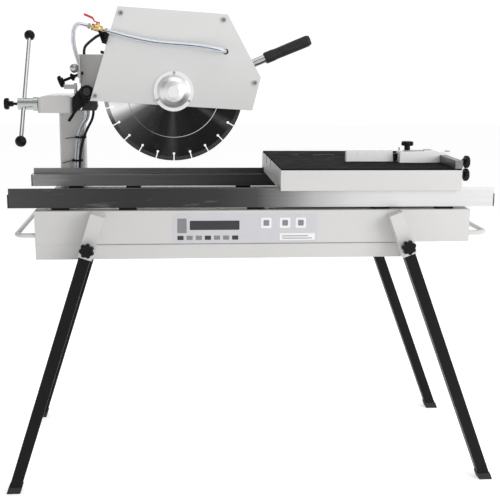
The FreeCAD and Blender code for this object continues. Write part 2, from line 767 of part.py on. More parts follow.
# Hand-laid routes of the hoses and cables
hose_lower_route = [(-464, 236.5, 977.8), (-464, 236.5, 958), (-484, 236.5, 931), (-494, 236.5, 900),
                    (-499, 236.5, 866), (-502, 236.5, 830), (-504, 236.5, 794), (-504.5, 236, 758),
                    (-503, 232.5, 724), (-499, 219, 694), (-499, 199, 681), (-499, 178, 681)]
cable_lower_route = [(-448, 236.5, 977.8), (-448, 236.5, 957), (-466, 237, 926), (-479, 239, 896),
                     (-488, 241.5, 863), (-493, 243, 828), (-495, 243, 793), (-494, 241, 759),
                     (-490, 234, 735), (-487, 218, 719), (-486, 199, 709), (-486, 178, 709)]
hose_loop_route = [(-462, 226, 1006), (-462, 226, 1030), (-464, 217, 1058), (-470, 202, 1086),
                   (-480, 181, 1112), (-487, 156, 1140), (-491, 129, 1169), (-489, 100, 1194),
                   (-482, 72, 1213), (-470, 50, 1222.5), (-456.1, 42, 1221), (-440.6, 42, 1217.1)]
hose_guard_route = [(-395.9, 42, 1206), (-379, 42, 1201.8), (-348, 38.2, 1193.5), (-310, 37, 1184.5),
                    (-272, 37, 1177.5), (-232, 37, 1173), (-190, 37, 1170.5),
                    (-158, 35.5, 1168.5), (-128, 30, 1165), (-102, 19.5, 1160.5), (-77, 21, 1155),
                    (-64, 42, 1151.7), (-62.8, 67, 1151.2)]
cable_upper_route = [(-445, 226, 1006), (-445, 226, 1032), (-449, 216, 1060), (-456, 201, 1086),
                     (-463, 185, 1114), (-466, 169, 1143), (-462, 151, 1161), (-451, 133, 1171),
                     (-436, 118, 1182), (-422, 110, 1192), (-407, 109, 1196), (-397, 121, 1194),
                     (-394.5, 139, 1185),
                     (-398, 158, 1171), (-398, 180, 1158), (-384, 200, 1147), (-358, 213, 1141),
                     (-328, 220, 1140), (-298, 225, 1141.5), (-272, 226.3, 1142), (-249, 226, 1142)]


def cable_ties():
    """Two ties that hold the pump's hose and cable together, each with a cut tail."""
    pieces = []
    for x, z, tail in ((-487.6, 897, V(-1, 0, -0.12)), (-499.3, 827, V(-1, 0, -0.25))):
        band = round_box(x - 16.4, x + 16.4, 228.2, 248, z - 3, z + 3, 7, Z_AXIS)
        hollow = round_box(x - 15.4, x + 15.4, 229.3, 247.2, z - 4, z + 4, 6, Z_AXIS)
        strip = aimed(box(-1, 1, -2.6, 2.6, 0, 30), (x - 15.8, 232.5, z), tail)
        pieces.append(fused(band.cut(hollow), strip.cut(hollow)))
    return Part.makeCompound(pieces)


def pump():
    """A submersible pump standing on the tank's floor, with its outlet and cable gland to the rear."""
    floor = tank_deep_floor + tank_sheet
    body = round_box(-545, -455, 95, 165, floor, 720, 14, Z_AXIS)
    foot = box(-550, -450, 90, 170, floor, floor + 6)
    grooves = []
    for i in range(5):
        z = floor + 14 + 8 * i
        grooves.append(box(-546, -454, 94, 97, z, z + 4))
    outlet = rod((-499, 160, 681), Y_AXIS, 5.5, 18)
    gland = rod((-486, 160, 709), Y_AXIS, 6, 18)
    whole = fused(body, foot, outlet, gland)
    for groove in grooves:
        whole = whole.cut(groove)
    return whole


# ---------------------------------------------------------------- blade and spindle

def blade():
    """A segmented diamond disc: keyhole slots part the rim into equal segments."""
    core = rod((blade_x, blade_y - blade_core / 2, blade_z), Y_AXIS, blade_r - segment_height, blade_core)
    rim = ring((blade_x, blade_y - blade_rim / 2, blade_z), Y_AXIS, blade_r,
               blade_r - segment_height, blade_rim)
    disc = fused(core, rim)
    slots = []
    for i in range(segment_count):
        slot = box(blade_x - 1.5, blade_x + 1.5, blade_y - 5, blade_y + 5, blade_z - blade_r - 1,
                   blade_z - blade_r + 19)
        keyhole = rod((blade_x, blade_y - 5, blade_z - blade_r + 20), Y_AXIS, 3.5, 10)
        cutter = slot.fuse(keyhole)
        cutter.rotate(V(blade_x, blade_y, blade_z), Y_AXIS, 360.0 * i / segment_count)
        slots.append(cutter)
    bore = rod((blade_x, blade_y - 5, blade_z), Y_AXIS, arbor_r, 10)
    return disc.cut(Part.makeCompound(slots)).cut(bore)


def blade_flanges():
    """The clamping flanges either side of the blade, and the nut."""
    half = blade_core / 2
    pieces = []
    front = ring((blade_x, blade_y - half - 11, blade_z), Y_AXIS, 36, arbor_r, 11)
    back = ring((blade_x, blade_y + half, blade_z), Y_AXIS, 36, arbor_r, 11)
    pieces += [front, back]
    corners = [V(blade_x + 21 * math.cos(math.radians(60 * i)), blade_y - half - 25,
                 blade_z + 21 * math.sin(math.radians(60 * i))) for i in range(7)]
    nut = Part.Face(Part.makePolygon(corners)).extrude(V(0, 14, 0))
    pieces.append(nut.cut(rod((blade_x, 50, blade_z), Y_AXIS, arbor_r, 60)))
    return Part.makeCompound(pieces)


def spindle():
    """The motor's shaft with its rotor, its fan and the blade's seat."""
    shaft = rod((blade_x, 72, blade_z), Y_AXIS, arbor_r - shaft_fit, 252)
    rotor = rod((blade_x, motor_y[0] + 28, blade_z), Y_AXIS, 47, 98)
    tail = rod((blade_x, 320, blade_z), Y_AXIS, 10, 22)
    fan = rod((blade_x, 326, blade_z), Y_AXIS, 60, 3)
    vanes = []
    for i in range(8):
        vane = box(blade_x + 20, blade_x + 60, 328, 341, blade_z - 1.2, blade_z + 1.2)
        vane.rotate(V(blade_x, 0, blade_z), Y_AXIS, 45.0 * i)
        vanes.append(vane)
    return fused(shaft, rotor, tail, fan, *vanes)


# ---------------------------------------------------------------- rolling table

def table_tray():
    """A folded tray with skirts, a sunk kerf channel, and hangers for the two axles."""
    x0, x1 = table_x
    y0, y1 = table_y
    top = table_top - mat_thickness
    sheet = table_sheet
    outer = box(x0, x1, y0, y1, skirt_bottom, top)
    hollow = box(x0 + sheet, x1 - sheet, y0 + sheet, y1 - sheet, skirt_bottom - 1, top - sheet)
    shell = outer.cut(hollow)
    channel = box(x0, x1, blade_y - kerf_half_width - 2, blade_y + kerf_half_width + 2,
                  kerf_floor - 2, top)
    mitre = box(x0, x0 + 30, mitre_kerf_y - kerf_half_width - 2, mitre_kerf_y + kerf_half_width + 2,
                kerf_floor, top)
    hangers = []
    for x in axle_places():
        for y in (-188, 168):
            hangers.append(box(x - 14, x + 14, y - 3, y + 3, skirt_bottom - 4, top - 1))
    shell = fused(shell, channel, mitre, *hangers)
    shell = shell.cut(box(x0 - 1, x1 + 1, blade_y - kerf_half_width, blade_y + kerf_half_width,
                          kerf_floor, top + 1))
    shell = shell.cut(box(x0 - 1, x0 + 28, mitre_kerf_y - kerf_half_width,
                          mitre_kerf_y + kerf_half_width, kerf_floor + 2, top + 1))
    for outer_y, inward in ((rail_front_y, 1), (rail_back_y, -1)):
        a, b = sorted((outer_y - inward * 3, outer_y + inward * (rail_width + 3)))
        shell = shell.cut(box(x0 - 1, x1 + 1, a, b, skirt_bottom - 1, rail_top + 5))
    for x in axle_places():
        shell = shell.cut(rod((x, y0 + 5, axle_z), Y_AXIS, axle_r + shaft_fit, 460))
    return shell.cut(rod((x1 - 5, knob_y, table_knob_z), X_AXIS, side_stud_r + shaft_fit, 10))


axle_z = rail_box_top + roller_r + 0.1
knob_y = -243.0
side_stud_r = 3.0
table_knob_z = 841.0
fence_knob_z = 874.5


def axle_places():
    return (table_x[0] + axle_inset, table_x[1] - axle_inset)


def rubber_mat():
    x0, x1 = table_x
    y0, y1 = table_y
    mat = box(x0 + 1.5, x1 - 1.5, y0 + 1.5, y1 - 1.5, table_top - mat_thickness, table_top)
    mat = mat.cut(box(x0, x1, blade_y - kerf_half_width, blade_y + kerf_half_width,
                      table_top - 10, table_top + 1))
    return mat.cut(box(x0, x0 + 28, mitre_kerf_y - kerf_half_width, mitre_kerf_y + kerf_half_width,
                       table_top - 10, table_top + 1))


def wheelset(x):
    """An axle with a flanged roller for each rail."""
    axle = rod((x, -229, axle_z), Y_AXIS, axle_r, 440)
    pieces = [axle]
    for y in (-227, 192):
        pieces.append(rod((x, y, axle_z), Y_AXIS, roller_r, 18))
    return fused(*pieces)


def fence_rail():
    """The square bar along the table's edge that the fence slides on."""
    x0, x1 = fence_rail_x
    bar = box(x0, x1, table_y[0], 60, table_top, table_top + fence_rail_height)
    return bar.cut(rod((x1 - 12, knob_y, fence_knob_z), X_AXIS, side_stud_r + shaft_fit, 15))


def fence_carriage():
    """The fence's clamp block, with a slot behind for the sliding bar and a saddle over the rail."""
    z0 = table_top + 0.4
    z1 = z0 + fence_height
    block = box(fence_split, fence_right, fence_front, fence_back - 0.3, z0, z1)
    keeper = box(fence_split, fence_right, fence_back + 6.3, fence_back + 12, z0, z1)
    bridge = box(fence_split, fence_right, fence_back - 1, fence_back + 7, z0 + 23, z1)
    body = fused(block, keeper, bridge)
    x0, x1 = fence_rail_x
    body = body.cut(box(x0 - 0.3, x1 + 0.3, fence_front - 1, 0, z0 - 1,
                        table_top + fence_rail_height + 0.3))
    body = body.cut(rod((432, -81, z1 - 20), Z_AXIS, 4.05, 30))
    arm = plate_xz([(421, z1 + 0.1), (477, z1 + 0.1), (477, z1 + 2.1), (421, z1 + 2.1)], -88, -74)
    arm = arm.cut(rod((432, -81, z1 - 5), Z_AXIS, 4.05, 30))
    lever = box(fence_right - 14, fence_right - 2, fence_front + 4, fence_front + 16, z1, z1 + 3)
    return Part.makeCompound([fused(body, arm.translated(V(0, 0, -0.1))), lever.cut(body)])


def fence_stop():
    """The thin sliding half of the fence: a bar with a tongue that runs in the clamp block."""
    z0 = table_top + 0.6
    bar = plate_xz([(fence_left, z0), (393, z0), (391, z0 + fence_height), (fence_left, z0 + fence_height)],
                   fence_back, fence_back + 18)
    tongue = box(380, 500, fence_back, fence_back + 6, z0 + 2, z0 + 22)
    return fused(bar, tongue)


def fence_stop_knob():
    z1 = table_top + 0.4 + fence_height
    knob = star_knob(16.5, 12, 8, 12, 4, 8)
    return aimed(knob, (432, -81, z1 + 2.3 + 24), Z_AXIS * -1)


def side_knob(z):
    """A star knob on the right-hand end of the table."""
    return aimed(star_knob(16.5, 12, 8, 5.5, side_stud_r, 8), (table_x[1] + 18, knob_y, z), X_AXIS * -1)


# ---------------------------------------------------------------- output

def export(name, shape):
    """Writes one sub-part, moved so that the origin is under the middle of the machine."""
    moved = shape.copy()
    moved.translate(V(-origin_x, -origin_y, 0))
    solids = moved.Solids
    if not moved.isValid() or not solids or min(s.Volume for s in solids) <= 0:
        print(f"CHECK {name}: valid {moved.isValid()}, solids {len(solids)}")
    whole = Part.makeCompound(solids) if len(solids) > 1 else solids[0]
    whole.exportStep(f"parts/{name}.step")
    return whole.BoundBox


def main():
    parts = {
        "tank": tank(),
        "drain_plug": drain_plug(),
        "leg_sockets": leg_sockets(),
        "carry_handles": carry_handles(),
        "rail_front": rail(rail_front_y, 1),
        "rail_back": rail(rail_back_y, -1),
        "rail_caps_and_spacers": rail_caps_and_spacers(),
        "column": column(),
        "head_beam": head_beam(),
        "tee_hub": tee_hub(),
        "tee_rod": tee_rod(),
        "end_knob": end_knob(),
        "tilt_yoke": Part.makeCompound([tilt_yoke(), stop_bracket()]),
        "pivot_axle": pivot_axle(),
        "torsion_spring": torsion_spring(),
        "hose_duct": hose_duct(),
        "swing_arm": swing_arm(),
        "depth_screw": depth_screw(),
        "guard_rear": guard_rear(),
        "guard_front": guard_front(),
        "guard_screws": guard_screws(),
        "hub_cover": hub_cover(),
        "motor_housing": motor_housing(),
        "motor_stator": motor_stator(),
        "fan_cover": fan_cover(),
        "switch_box": switch_box(),
        "power_switch": power_switch(),
        "handle_tube": handle_tube(),
        "handle_grip": handle_grip(),
        "valve_body": valve_body(),
        "valve_lever": valve_lever(),
        "valve_bracket": valve_bracket(),
        "cable_ties": cable_ties(),
        "pump": pump(),
        "blade": blade(),
        "blade_flanges": blade_flanges(),
        "spindle": spindle(),
        "table_tray": table_tray(),
        "rubber_mat": rubber_mat(),
        "fence_rail": fence_rail(),
        "fence_carriage": fence_carriage(),
        "fence_stop": fence_stop(),
        "fence_stop_knob": fence_stop_knob(),
        "fence_lock_knob": side_knob(fence_knob_z),
        "table_lock_knob": side_knob(table_knob_z),
        "hose_lower": flexible_tube("hose_lower", hose_lower_route, hose_d),
        "cable_lower": flexible_tube("cable_lower", cable_lower_route, cable_d),
        "hose_loop": flexible_tube("hose_loop", hose_loop_route, hose_d),
        "hose_guard": flexible_tube("hose_guard", hose_guard_route, guard_hose_d),
        "cable_upper": flexible_tube("cable_upper", cable_upper_route, cable_d),
    }
    for end, y in (("front", -leg_y), ("rear", leg_y)):
        for side in ("left", "right"):
            parts[f"leg_{end}_{side}"] = leg(y, side)
            parts[f"leg_knob_{end}_{side}"] = leg_knob(y, side)
    for side, x in zip(("left", "right"), axle_places()):
        parts[f"wheelset_{side}"] = wheelset(x)

    whole = FreeCAD.BoundBox()
    for name, shape in parts.items():
        whole.add(export(name, shape))
    print(f"{len(parts)} sub-parts, {whole.XLength:.1f} x {whole.YLength:.1f} x {whole.ZLength:.1f} mm,"
          f" middle {whole.Center.x:.2f}, {whole.Center.y:.2f}, lowest {whole.ZMin:.2f}")


main()
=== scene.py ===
"""Stone saw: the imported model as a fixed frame, with its hoses, label, small fittings and finishes."""

import json
import math

import bmesh
import bpy
from mathutils import Matrix, Vector


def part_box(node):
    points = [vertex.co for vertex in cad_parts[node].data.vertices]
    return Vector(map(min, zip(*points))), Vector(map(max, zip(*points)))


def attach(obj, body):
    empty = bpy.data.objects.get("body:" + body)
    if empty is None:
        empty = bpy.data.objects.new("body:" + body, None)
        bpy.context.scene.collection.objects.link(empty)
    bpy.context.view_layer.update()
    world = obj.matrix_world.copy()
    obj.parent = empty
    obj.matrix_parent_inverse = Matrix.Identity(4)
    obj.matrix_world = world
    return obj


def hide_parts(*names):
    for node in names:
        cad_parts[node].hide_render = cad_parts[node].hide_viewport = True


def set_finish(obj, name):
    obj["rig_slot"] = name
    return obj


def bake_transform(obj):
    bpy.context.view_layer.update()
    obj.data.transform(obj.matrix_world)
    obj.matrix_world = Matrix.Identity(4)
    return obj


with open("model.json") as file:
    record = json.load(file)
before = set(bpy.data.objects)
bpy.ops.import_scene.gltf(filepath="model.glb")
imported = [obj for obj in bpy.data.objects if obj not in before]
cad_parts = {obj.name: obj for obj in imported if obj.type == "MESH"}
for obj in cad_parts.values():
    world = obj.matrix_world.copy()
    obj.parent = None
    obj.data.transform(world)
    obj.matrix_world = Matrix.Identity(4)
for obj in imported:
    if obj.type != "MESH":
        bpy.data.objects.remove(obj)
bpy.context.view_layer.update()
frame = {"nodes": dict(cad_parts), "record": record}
nodes = frame["nodes"]

# The part's source measures from this point, in metres in the frame
SOURCE_ORIGIN = Vector((-0.01741, 0.021, 0.0))

X_AXIS, Y_AXIS, Z_AXIS = Vector((1, 0, 0)), Vector((0, 1, 0)), Vector((0, 0, 1))

# Sizes and places on the machine, in the source's axes
BLADE_CENTRE = (-0.209, 0.100, 1.0416)
SEGMENT_RADIUS = 0.1885
ETCHED_RADIUS = 0.133
GRIP_START = (0.065, 0.172, 1.132)
GRIP_LEAN = math.radians(22.5)
GRIP_RING_PITCH = 0.0065
VALVE_CENTRE = (-0.4173, 0.042, 1.2113)
VALVE_LEAN = math.radians(-14)
FOOT_HEIGHT = 0.0185
BALL_REACH = 0.0335
KERF_Y, MITRE_Y = 0.100, -0.004
KERF_HALF, KERF_FLOOR = 0.0047, 0.8325
TANK_FRONT = -0.248


def place(x, y, z):
    """A point of the part's source, in metres, as a point of the frame."""
    return Vector((x, y, z)) - SOURCE_ORIGIN


# ---------------------------------------------------------------- camera

CAMERA_PLACE = Vector((-0.2058, -2.5927, 1.1289))
CAMERA_YAW, CAMERA_PITCH, CAMERA_ROLL = 0.088933, -0.203570, 0.009323
FOCAL_LENGTH, SENSOR_WIDTH = 66.05, 36.0


def make_camera():
    ahead = Vector((math.sin(CAMERA_YAW) * math.cos(CAMERA_PITCH),
                    math.cos(CAMERA_YAW) * math.cos(CAMERA_PITCH), math.sin(CAMERA_PITCH)))
    level = Vector((math.cos(CAMERA_YAW), -math.sin(CAMERA_YAW), 0))
    over = level.cross(ahead)
    right = level * math.cos(CAMERA_ROLL) + over * math.sin(CAMERA_ROLL)
    up = over * math.cos(CAMERA_ROLL) - level * math.sin(CAMERA_ROLL)
    data = bpy.data.cameras.new("camera")
    data.lens, data.sensor_width = FOCAL_LENGTH, SENSOR_WIDTH
    data.sensor_fit = "HORIZONTAL"
    camera = bpy.data.objects.new("camera", data)
    bpy.context.scene.collection.objects.link(camera)
    axes = Matrix((right, up, -ahead)).transposed().to_4x4()
    camera.matrix_world = Matrix.Translation(CAMERA_PLACE) @ axes
    bpy.context.scene.camera = camera


make_camera()

# ---------------------------------------------------------------- hoses and cables

HOSE, GUARD_HOSE, CABLE = 0.0125, 0.0115, 0.008

# Heights between which the bundle under the duct bends when the head tilts
BUNDLE_TOP, BUNDLE_LOW = 0.958, 0.790

HOSE_LOWER = [(-0.464, 0.2365, 0.9778), (-0.464, 0.2365, 0.958), (-0.484, 0.2365, 0.931),
              (-0.494, 0.2365, 0.900), (-0.499, 0.2365, 0.866), (-0.502, 0.2365, 0.830),
              (-0.504, 0.2365, 0.794), (-0.5045, 0.236, 0.758), (-0.503, 0.2325, 0.724),
              (-0.499, 0.219, 0.694), (-0.499, 0.199, 0.681), (-0.499, 0.178, 0.681)]
CABLE_LOWER = [(-0.448, 0.2365, 0.9778), (-0.448, 0.2365, 0.957), (-0.466, 0.237, 0.926),
               (-0.479, 0.239, 0.896), (-0.488, 0.2415, 0.863), (-0.493, 0.243, 0.828),
               (-0.495, 0.243, 0.793), (-0.494, 0.241, 0.759), (-0.490, 0.234, 0.735),
               (-0.487, 0.218, 0.719), (-0.486, 0.199, 0.709), (-0.486, 0.178, 0.709)]
HOSE_LOOP = [(-0.462, 0.226, 1.006), (-0.462, 0.226, 1.030), (-0.464, 0.217, 1.058),
             (-0.470, 0.202, 1.086), (-0.480, 0.181, 1.112), (-0.487, 0.156, 1.140),
             (-0.491, 0.129, 1.169), (-0.489, 0.100, 1.194), (-0.482, 0.072, 1.213),
             (-0.470, 0.050, 1.2225), (-0.4561, 0.042, 1.221), (-0.4406, 0.042, 1.2171)]
HOSE_GUARD = [(-0.3959, 0.042, 1.206), (-0.379, 0.042, 1.2018), (-0.348, 0.0382, 1.1935),
              (-0.310, 0.037, 1.1845), (-0.272, 0.037, 1.1775), (-0.232, 0.037, 1.173),
              (-0.190, 0.037, 1.1705), (-0.158, 0.0355, 1.1685), (-0.128, 0.030, 1.165),
              (-0.102, 0.0195, 1.1605), (-0.077, 0.021, 1.155), (-0.064, 0.042, 1.1517),
              (-0.0628, 0.067, 1.1512)]
CABLE_UPPER = [(-0.445, 0.226, 1.006), (-0.445, 0.226, 1.032), (-0.449, 0.216, 1.060),
               (-0.456, 0.201, 1.086), (-0.463, 0.185, 1.114), (-0.466, 0.169, 1.143),
               (-0.462, 0.151, 1.161), (-0.451, 0.133, 1.171), (-0.436, 0.118, 1.182),
               (-0.422, 0.110, 1.192), (-0.407, 0.109, 1.196), (-0.397, 0.121, 1.194),
               (-0.3945, 0.139, 1.185), (-0.398, 0.158, 1.171), (-0.398, 0.180, 1.158),
               (-0.384, 0.200, 1.147), (-0.358, 0.213, 1.141), (-0.328, 0.220, 1.140),
               (-0.298, 0.225, 1.1415), (-0.272, 0.2263, 1.142), (-0.249, 0.226, 1.142)]


def route_curve(name, route, diameter):
    """A smooth line with the route's points as its control points, thickened to the tube's size."""
    data = bpy.data.curves.new(name, "CURVE")
    data.dimensions = "3D"
    spline = data.splines.new("NURBS")
    spline.points.add(len(route) - 1)
    for point, where in zip(spline.points, route):
        point.co = place(*where).to_4d()
    spline.order_u = 3
    spline.use_endpoint_u = True
    spline.resolution_u = 12
    data.bevel_depth = diameter / 2
    data.bevel_resolution = 6
    data.use_fill_caps = True
    curve = bpy.data.objects.new(name, data)
    bpy.context.scene.collection.objects.link(curve)
    return curve


def tube(name, route, diameter, slot):
    """The route as a mesh."""
    curve = route_curve(name + "_line", route, diameter)
    bpy.context.view_layer.update()
    mesh = bpy.data.meshes.new_from_object(curve.evaluated_get(bpy.context.evaluated_depsgraph_get()))
    bpy.data.objects.remove(curve)
    piece = bpy.data.objects.new(name, mesh)
    bpy.context.scene.collection.objects.link(piece)
    mesh.shade_smooth()
    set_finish(piece, slot)
    return piece


# A dark line runs along the front of each clear hose, painted shade standing for the bore seen through the
# clear wall; its width is a share of the hose's
LINE = 0.30
LINE_SUFFIX = "_line"

# Route, diameter, slot, the two bodies and the heights at which each one takes over
CROSSING = {
    "hose_lower": (HOSE_LOWER, HOSE, "clear_hose", ("tilt_head", "base"), (BUNDLE_TOP, BUNDLE_LOW)),
    "cable_lower": (CABLE_LOWER, CABLE, "black_rubber", ("tilt_head", "base"), (0.957, BUNDLE_LOW)),
    "hose_loop": (HOSE_LOOP, HOSE, "clear_hose", ("tilt_head", "saw_head"), (1.030, 1.213)),
    "cable_upper": (CABLE_UPPER, CABLE, "black_rubber", ("tilt_head", "saw_head"), (1.032, 1.171)),
}


def hose_line(name, route, diameter):
    """A thin strand sunk into the front of the hose, standing a little proud of it."""
    reach, drop = diameter * (0.5 - LINE / 2 + 0.02), diameter * 0.10
    middle = [(x, y - reach, z - drop) for x, y, z in route]
    return tube(name + LINE_SUFFIX, middle, diameter * LINE, "clear_hose")


def make_hoses():
    """Each hose stands for its CAD tube; those that cross a joint stay fixed where they are, and the guard's
    hose rides on the saw head.
    """
    made = []
    for name, (route, diameter, slot, (first, second), (low, high)) in CROSSING.items():
        whole = [tube(name + "_tube", route, diameter, slot)]
        if slot == "clear_hose":
            whole.append(hose_line(name, route, diameter))
        for piece in whole:
            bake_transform(piece)
        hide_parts(name)
        made += whole
    guard_hose = [tube("hose_guard_tube", HOSE_GUARD, GUARD_HOSE, "clear_hose"),
                  hose_line("hose_guard", HOSE_GUARD, GUARD_HOSE)]
    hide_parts("hose_guard")
    for piece in guard_hose:
        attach(piece, "saw_head")
    return made + guard_hose


def make_ties():
    """The cable ties, copied from their CAD node and fixed in place."""
    ties = bpy.data.objects.new("tie_bands", nodes["cable_ties"].data.copy())
    ties.matrix_world = nodes["cable_ties"].matrix_world.copy()
    bpy.context.scene.collection.objects.link(ties)
    ties.data.materials.clear()
    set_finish(ties, "black_plastic")
    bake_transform(ties)
    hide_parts("cable_ties")
    return [ties]


hoses = make_hoses() + make_ties()


# ---------------------------------------------------------------- materials

class Shader:
    """A node material, built a line at a time. Its coordinates are metres in the frame."""

    def __init__(self, name):
        self.material = bpy.data.materials.new(name)
        self.material.use_nodes = True
        self.tree = self.material.node_tree
        self.surface = self.tree.nodes["Principled BSDF"]
        self.where = self.add("ShaderNodeTexCoord").outputs["Object"]

    def add(self, kind, **settings):
        node = self.tree.nodes.new(kind)
        for key, value in settings.items():
            setattr(node, key, value)
        return node

    def join(self, value, socket):
        if isinstance(value, bpy.types.NodeSocket):
            self.tree.links.new(value, socket)
        else:
            socket.default_value = value

    def fix(self, **values):
        """Sets plain values on the surface, such as Metallic=1."""
        for key, value in values.items():
            self.surface.inputs[key.replace("_", " ")].default_value = value
        return self

    def at(self, centre=(0, 0, 0), scale=(1, 1, 1), turn=(0, 0, 0)):
        """The coordinates moved, so that centre is 0, then turned and scaled."""
        moved = self.add("ShaderNodeMapping", vector_type="POINT")
        self.join(self.where, moved.inputs["Vector"])
        moved.inputs["Location"].default_value = -Vector(centre)
        shaped = self.add("ShaderNodeMapping", vector_type="POINT")
        self.join(moved.outputs["Vector"], shaped.inputs["Vector"])
        shaped.inputs["Rotation"].default_value = turn
        shaped.inputs["Scale"].default_value = scale
        return shaped.outputs["Vector"]

    def noise(self, scale, detail=3.0, stretch=(1, 1, 1)):
        node = self.add("ShaderNodeTexNoise")
        self.join(self.at(scale=stretch), node.inputs["Vector"])
        node.inputs["Scale"].default_value = scale
        node.inputs["Detail"].default_value = detail
        return node.outputs["Fac"]

    def cells(self, scale):
        node = self.add("ShaderNodeTexVoronoi")
        self.join(self.where, node.inputs["Vector"])
        node.inputs["Scale"].default_value = scale
        return node.outputs["Distance"]

    def bands(self, scale, direction):
        node = self.add("ShaderNodeTexWave", wave_type="BANDS", bands_direction=direction, wave_profile="SIN")
        self.join(self.where, node.inputs["Vector"])
        node.inputs["Scale"].default_value = scale
        return node.outputs["Fac"]

    def part(self, vector, axis):
        node = self.add("ShaderNodeSeparateXYZ")
        self.join(vector, node.inputs["Vector"])
        return node.outputs[axis]

    def sum(self, operation, first, second=0.0, third=0.0):
        node = self.add("ShaderNodeMath", operation=operation)
        for value, socket in zip((first, second, third), node.inputs):
            self.join(value, socket)
        return node.outputs["Value"]

    def spread(self, value, low, high, out_low=0.0, out_high=1.0):
        node = self.add("ShaderNodeMapRange")
        for key, setting in (("Value", value), ("From Min", low), ("From Max", high),
                             ("To Min", out_low), ("To Max", out_high)):
            self.join(setting, node.inputs[key])
        return node.outputs["Result"]

    def ramp(self, value, *stops):
        node = self.add("ShaderNodeValToRGB")
        self.join(value, node.inputs["Fac"])
        elements = node.color_ramp.elements
        while len(elements) < len(stops):
            elements.new(0.5)
        for element, (position, colour) in zip(elements, stops):
            element.position = position
            element.color = rgba(colour)
        return node.outputs["Color"]

    def blend(self, factor, first, second, how="MIX"):
        node = self.add("ShaderNodeMix", data_type="RGBA", blend_type=how)
        self.join(factor, node.inputs["Factor"])
        self.join(first if isinstance(first, bpy.types.NodeSocket) else rgba(first), node.inputs[6])
        self.join(second if isinstance(second, bpy.types.NodeSocket) else rgba(second), node.inputs[7])
        return node.outputs[2]

    def rounded(self, radius):
        """Normals that soften a hard edge, as paint or casting does."""
        node = self.add("ShaderNodeBevel", samples=4)
        node.inputs["Radius"].default_value = radius
        return node.outputs["Normal"]

    def edges(self, radius):
        """1 along hard edges and 0 elsewhere."""
        plain = self.add("ShaderNodeNewGeometry").outputs["Normal"]
        node = self.add("ShaderNodeVectorMath", operation="DOT_PRODUCT")
        self.join(self.rounded(radius), node.inputs[0])
        self.join(plain, node.inputs[1])
        return self.spread(node.outputs["Value"], 0.98, 0.80)

    def relief(self, height, depth, normal=None):
        node = self.add("ShaderNodeBump")
        self.join(height, node.inputs["Height"])
        node.inputs["Distance"].default_value = depth
        node.inputs["Strength"].default_value = 1.0
        if normal is not None:
            self.join(normal, node.inputs["Normal"])
        return node.outputs["Normal"]

    def done(self, colour, roughness, normal=None):
        if isinstance(colour, bpy.types.NodeSocket):
            self.join(colour, self.surface.inputs["Base Color"])
        else:
            self.surface.inputs["Base Color"].default_value = rgba(colour)
        self.join(roughness, self.surface.inputs["Roughness"])
        if normal is not None:
            self.join(normal, self.surface.inputs["Normal"])
        return self.material


def rgba(colour):
    if isinstance(colour, (int, float)):
        return (colour, colour, colour, 1.0)
    return tuple(colour) + (1.0,) * (4 - len(colour))


def scaled(colour, factor):
    return tuple(min(1.0, part * factor) for part in colour)


def painted(name, colour, roughness, wear=(0.55, 0.55, 0.54), wear_amount=0.35, grain=0.00006,
            grime=0.10, edge=0.0012, gloss=0.5):
    """Powder coat: orange peel, faint clouding, dust in vertical streaks and thin paint on the edges."""
    s = Shader(name).fix(Specular_IOR_Level=gloss)
    clouds = s.blend(s.noise(3.5, 4.0), scaled(colour, 1.0 - grime * 0.5), scaled(colour, 1.02))
    speckled = s.blend(s.spread(s.noise(900.0, 1.0), 0.62, 0.72, 0.0, 0.5), clouds, scaled(colour, 0.86))
    streaks = s.spread(s.noise(14.0, 5.0, (1.0, 1.0, 0.12)), 0.58, 0.80, 0.0, grime)
    dusty = s.blend(streaks, speckled, scaled(colour, 0.72))
    chipped = s.sum("MULTIPLY", s.edges(edge), s.spread(s.noise(160.0, 4.0), 0.52, 0.66))
    wear_and_pale_patches = s.blend(s.sum("MULTIPLY", chipped, wear_amount), dusty, wear)
    rough = s.spread(s.noise(60.0, 3.0), 0.3, 0.7, roughness - 0.05, roughness + 0.07)
    peel = s.relief(s.noise(420.0, 2.0), grain, s.rounded(edge))
    return s.done(wear_and_pale_patches, rough, peel)


def moulded(name, colour, roughness, grain=0.00008, edge=0.001, gloss=0.35):
    """Injection-moulded plastic: fine spark-eroded grain, rubbed brighter on its edges."""
    s = Shader(name).fix(Specular_IOR_Level=gloss)
    tone = s.blend(s.noise(25.0, 4.0), scaled(colour, 0.85), scaled(colour, 1.18))
    rubbed = s.blend(s.sum("MULTIPLY", s.edges(edge), 0.35), tone, scaled(colour, 2.2))
    rough = s.spread(s.noise(140.0, 3.0), 0.3, 0.7, roughness - 0.06, roughness + 0.08)
    texture = s.relief(s.cells(1400.0), grain, s.rounded(edge))
    return s.done(rubbed, rough, texture)


def metal(name, colour, roughness, stretch=(1, 1, 1), scale=260.0, scratch=0.00004, spots=0.12):
    """Bare metal with drawn or turned marks along the stretched direction and faint tarnish."""
    s = Shader(name).fix(Metallic=1.0)
    marks = s.noise(scale, 4.0, stretch)
    tone = s.blend(marks, scaled(colour, 0.86), scaled(colour, 1.1))
    tarnish = s.blend(s.spread(s.noise(22.0, 5.0), 0.5, 0.8, 0.0, spots), tone, scaled(colour, 0.55))
    rough = s.spread(marks, 0.3, 0.7, roughness - 0.05, roughness + 0.1)
    return s.done(tarnish, rough, s.relief(marks, scratch, s.rounded(0.0006)))


